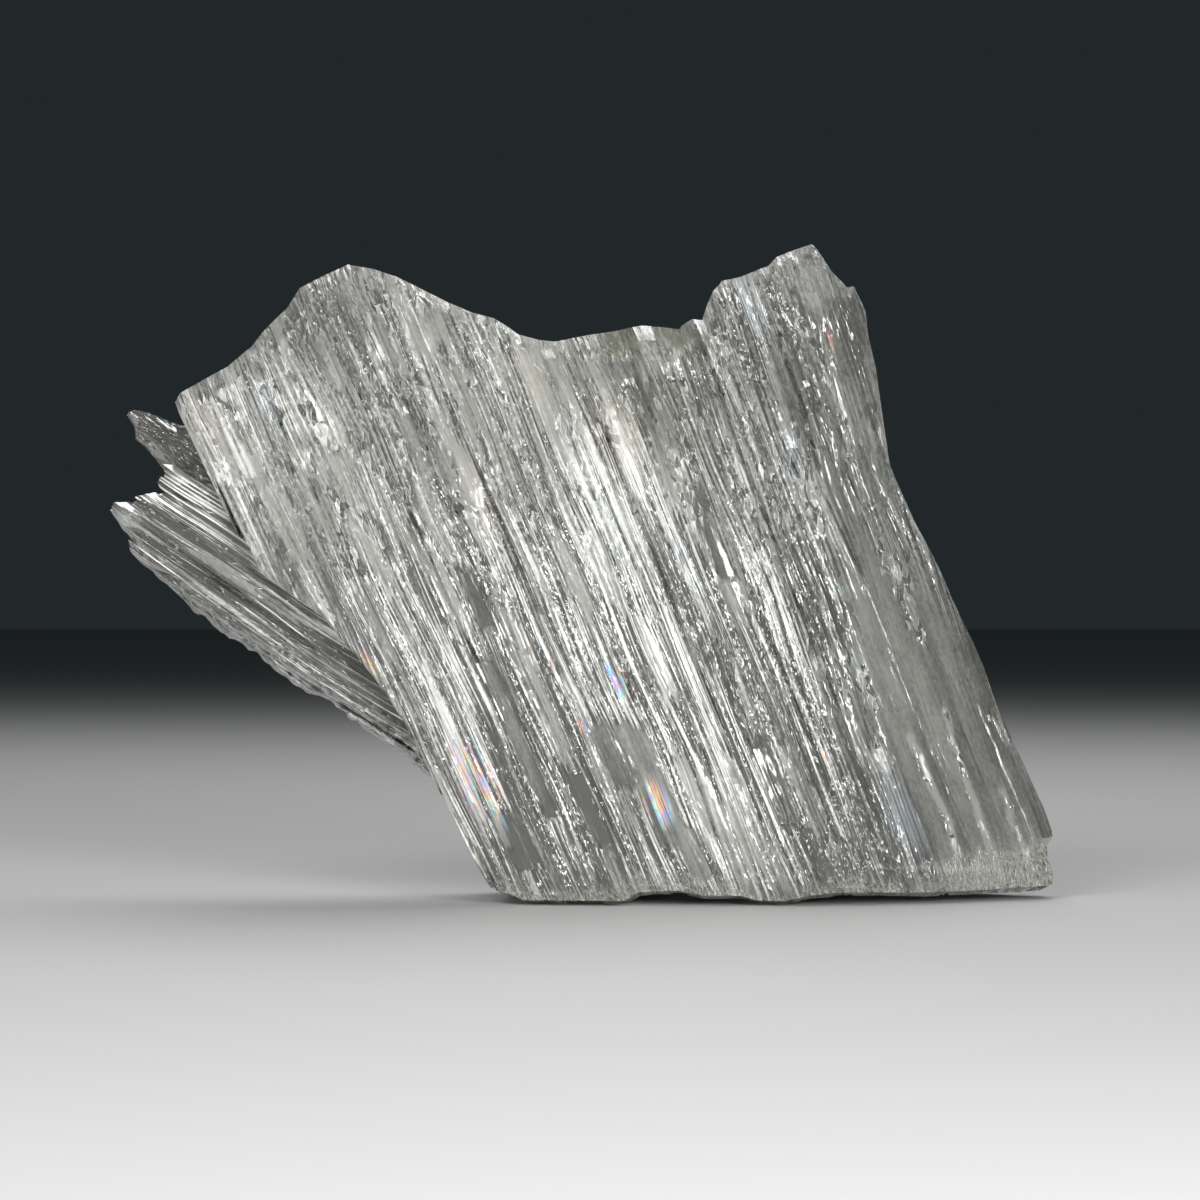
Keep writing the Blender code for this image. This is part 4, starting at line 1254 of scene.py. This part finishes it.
# %% Floor
FLOOR_SIZE, FLOOR_BELOW = 6.0, 0.00005
bpy.ops.mesh.primitive_plane_add(size=FLOOR_SIZE, location=(0.0, 1.0, -FLOOR_BELOW))
floor = bpy.context.object
floor.name = "floor"
floor_finish = bpy.data.materials.new("pale_floor")
floor_finish.use_nodes = True
floor_shader = floor_finish.node_tree.nodes["Principled BSDF"]
floor_shader.inputs["Base Color"].default_value = (0.5, 0.5, 0.495, 1.0)
floor_shader.inputs["Roughness"].default_value = 0.6
floor.data.materials.append(floor_finish)
bpy.ops.object.select_all(action="DESELECT")
print("floor, m:", tuple(round(side, 1) for side in floor.dimensions))

# %% [markdown]
# The key lamp lights the face from the upper left, and the sheen lamp on the right makes the satin
# flash. A small lamp low on the left puts glints on the spray, and the others soften the shadows.

# %% Lamps
AIM = (0.0, 0.0, 0.03)
BASE = (0.0, 0.0, 0.0)
LAMPS = (
    # name, place, aim, sides, watts
    ("key", (-0.22, -0.44, 0.30), AIM, (0.24, 0.24), 1.9),
    ("sheen", (0.17, -0.44, 0.11), AIM, (0.16, 0.11), 2.05),
    ("glint", (-0.15, -0.52, 0.035), AIM, (0.05, 0.03), 0.35),
    ("fill", (-0.40, -0.30, 0.08), AIM, (0.2, 0.2), 0.45),
    ("top", (0.08, 0.24, 0.50), BASE, (0.6, 0.5), 2.2),
)
for name, place, aim, sides, watts in LAMPS:
    bpy.ops.object.light_add(type="AREA", location=place)
    lamp = bpy.context.object
    lamp.name = name
    lamp.data.shape = "RECTANGLE"
    lamp.data.size, lamp.data.size_y = sides
    lamp.data.energy = watts
    lamp.rotation_euler = (Vector(aim) - Vector(place)).to_track_quat("-Z", "Y").to_euler()
    lamp.select_set(False)
print(len(LAMPS), "lamps")

# %% [markdown]
# The world around is nearly dark, as clear crystal looks best against it. A few bounces of light are
# enough, because what gets into the crystal is soon scattered back.

# %% World and light paths
world = bpy.data.worlds.new("studio")
bpy.context.scene.world = world
world.use_nodes = True
sky = world.node_tree.nodes["Background"]
sky.inputs["Color"].default_value = (0.016, 0.021, 0.023, 1.0)
sky.inputs["Strength"].default_value = 1.0
paths = bpy.context.scene.cycles
paths.max_bounces = 4
paths.diffuse_bounces = paths.glossy_bounces = paths.transmission_bounces = 2
print("light bounces at most", paths.max_bounces, "times")

# %% [markdown]
# A long lens looks level at the specimen from 44 cm off, so that its front is seen without distortion.

# %% Camera
SENSOR_MM = 36.0
SHOWN_WIDTH, SHOWN_AT = 0.12, 0.436
CAMERA_PLACE = (0.00189, -0.438, 0.0299)
bpy.ops.object.camera_add(location=CAMERA_PLACE, rotation=(math.pi / 2.0, 0.0, 0.0))
camera = bpy.context.object
camera.data.sensor_width = SENSOR_MM
camera.data.lens = SENSOR_MM * SHOWN_AT / SHOWN_WIDTH
camera.data.clip_start, camera.data.clip_end = 0.01, 20.0
bpy.context.scene.camera = camera
bpy.context.scene.view_settings.view_transform = "Standard"
print("lens, mm:", round(camera.data.lens, 1))
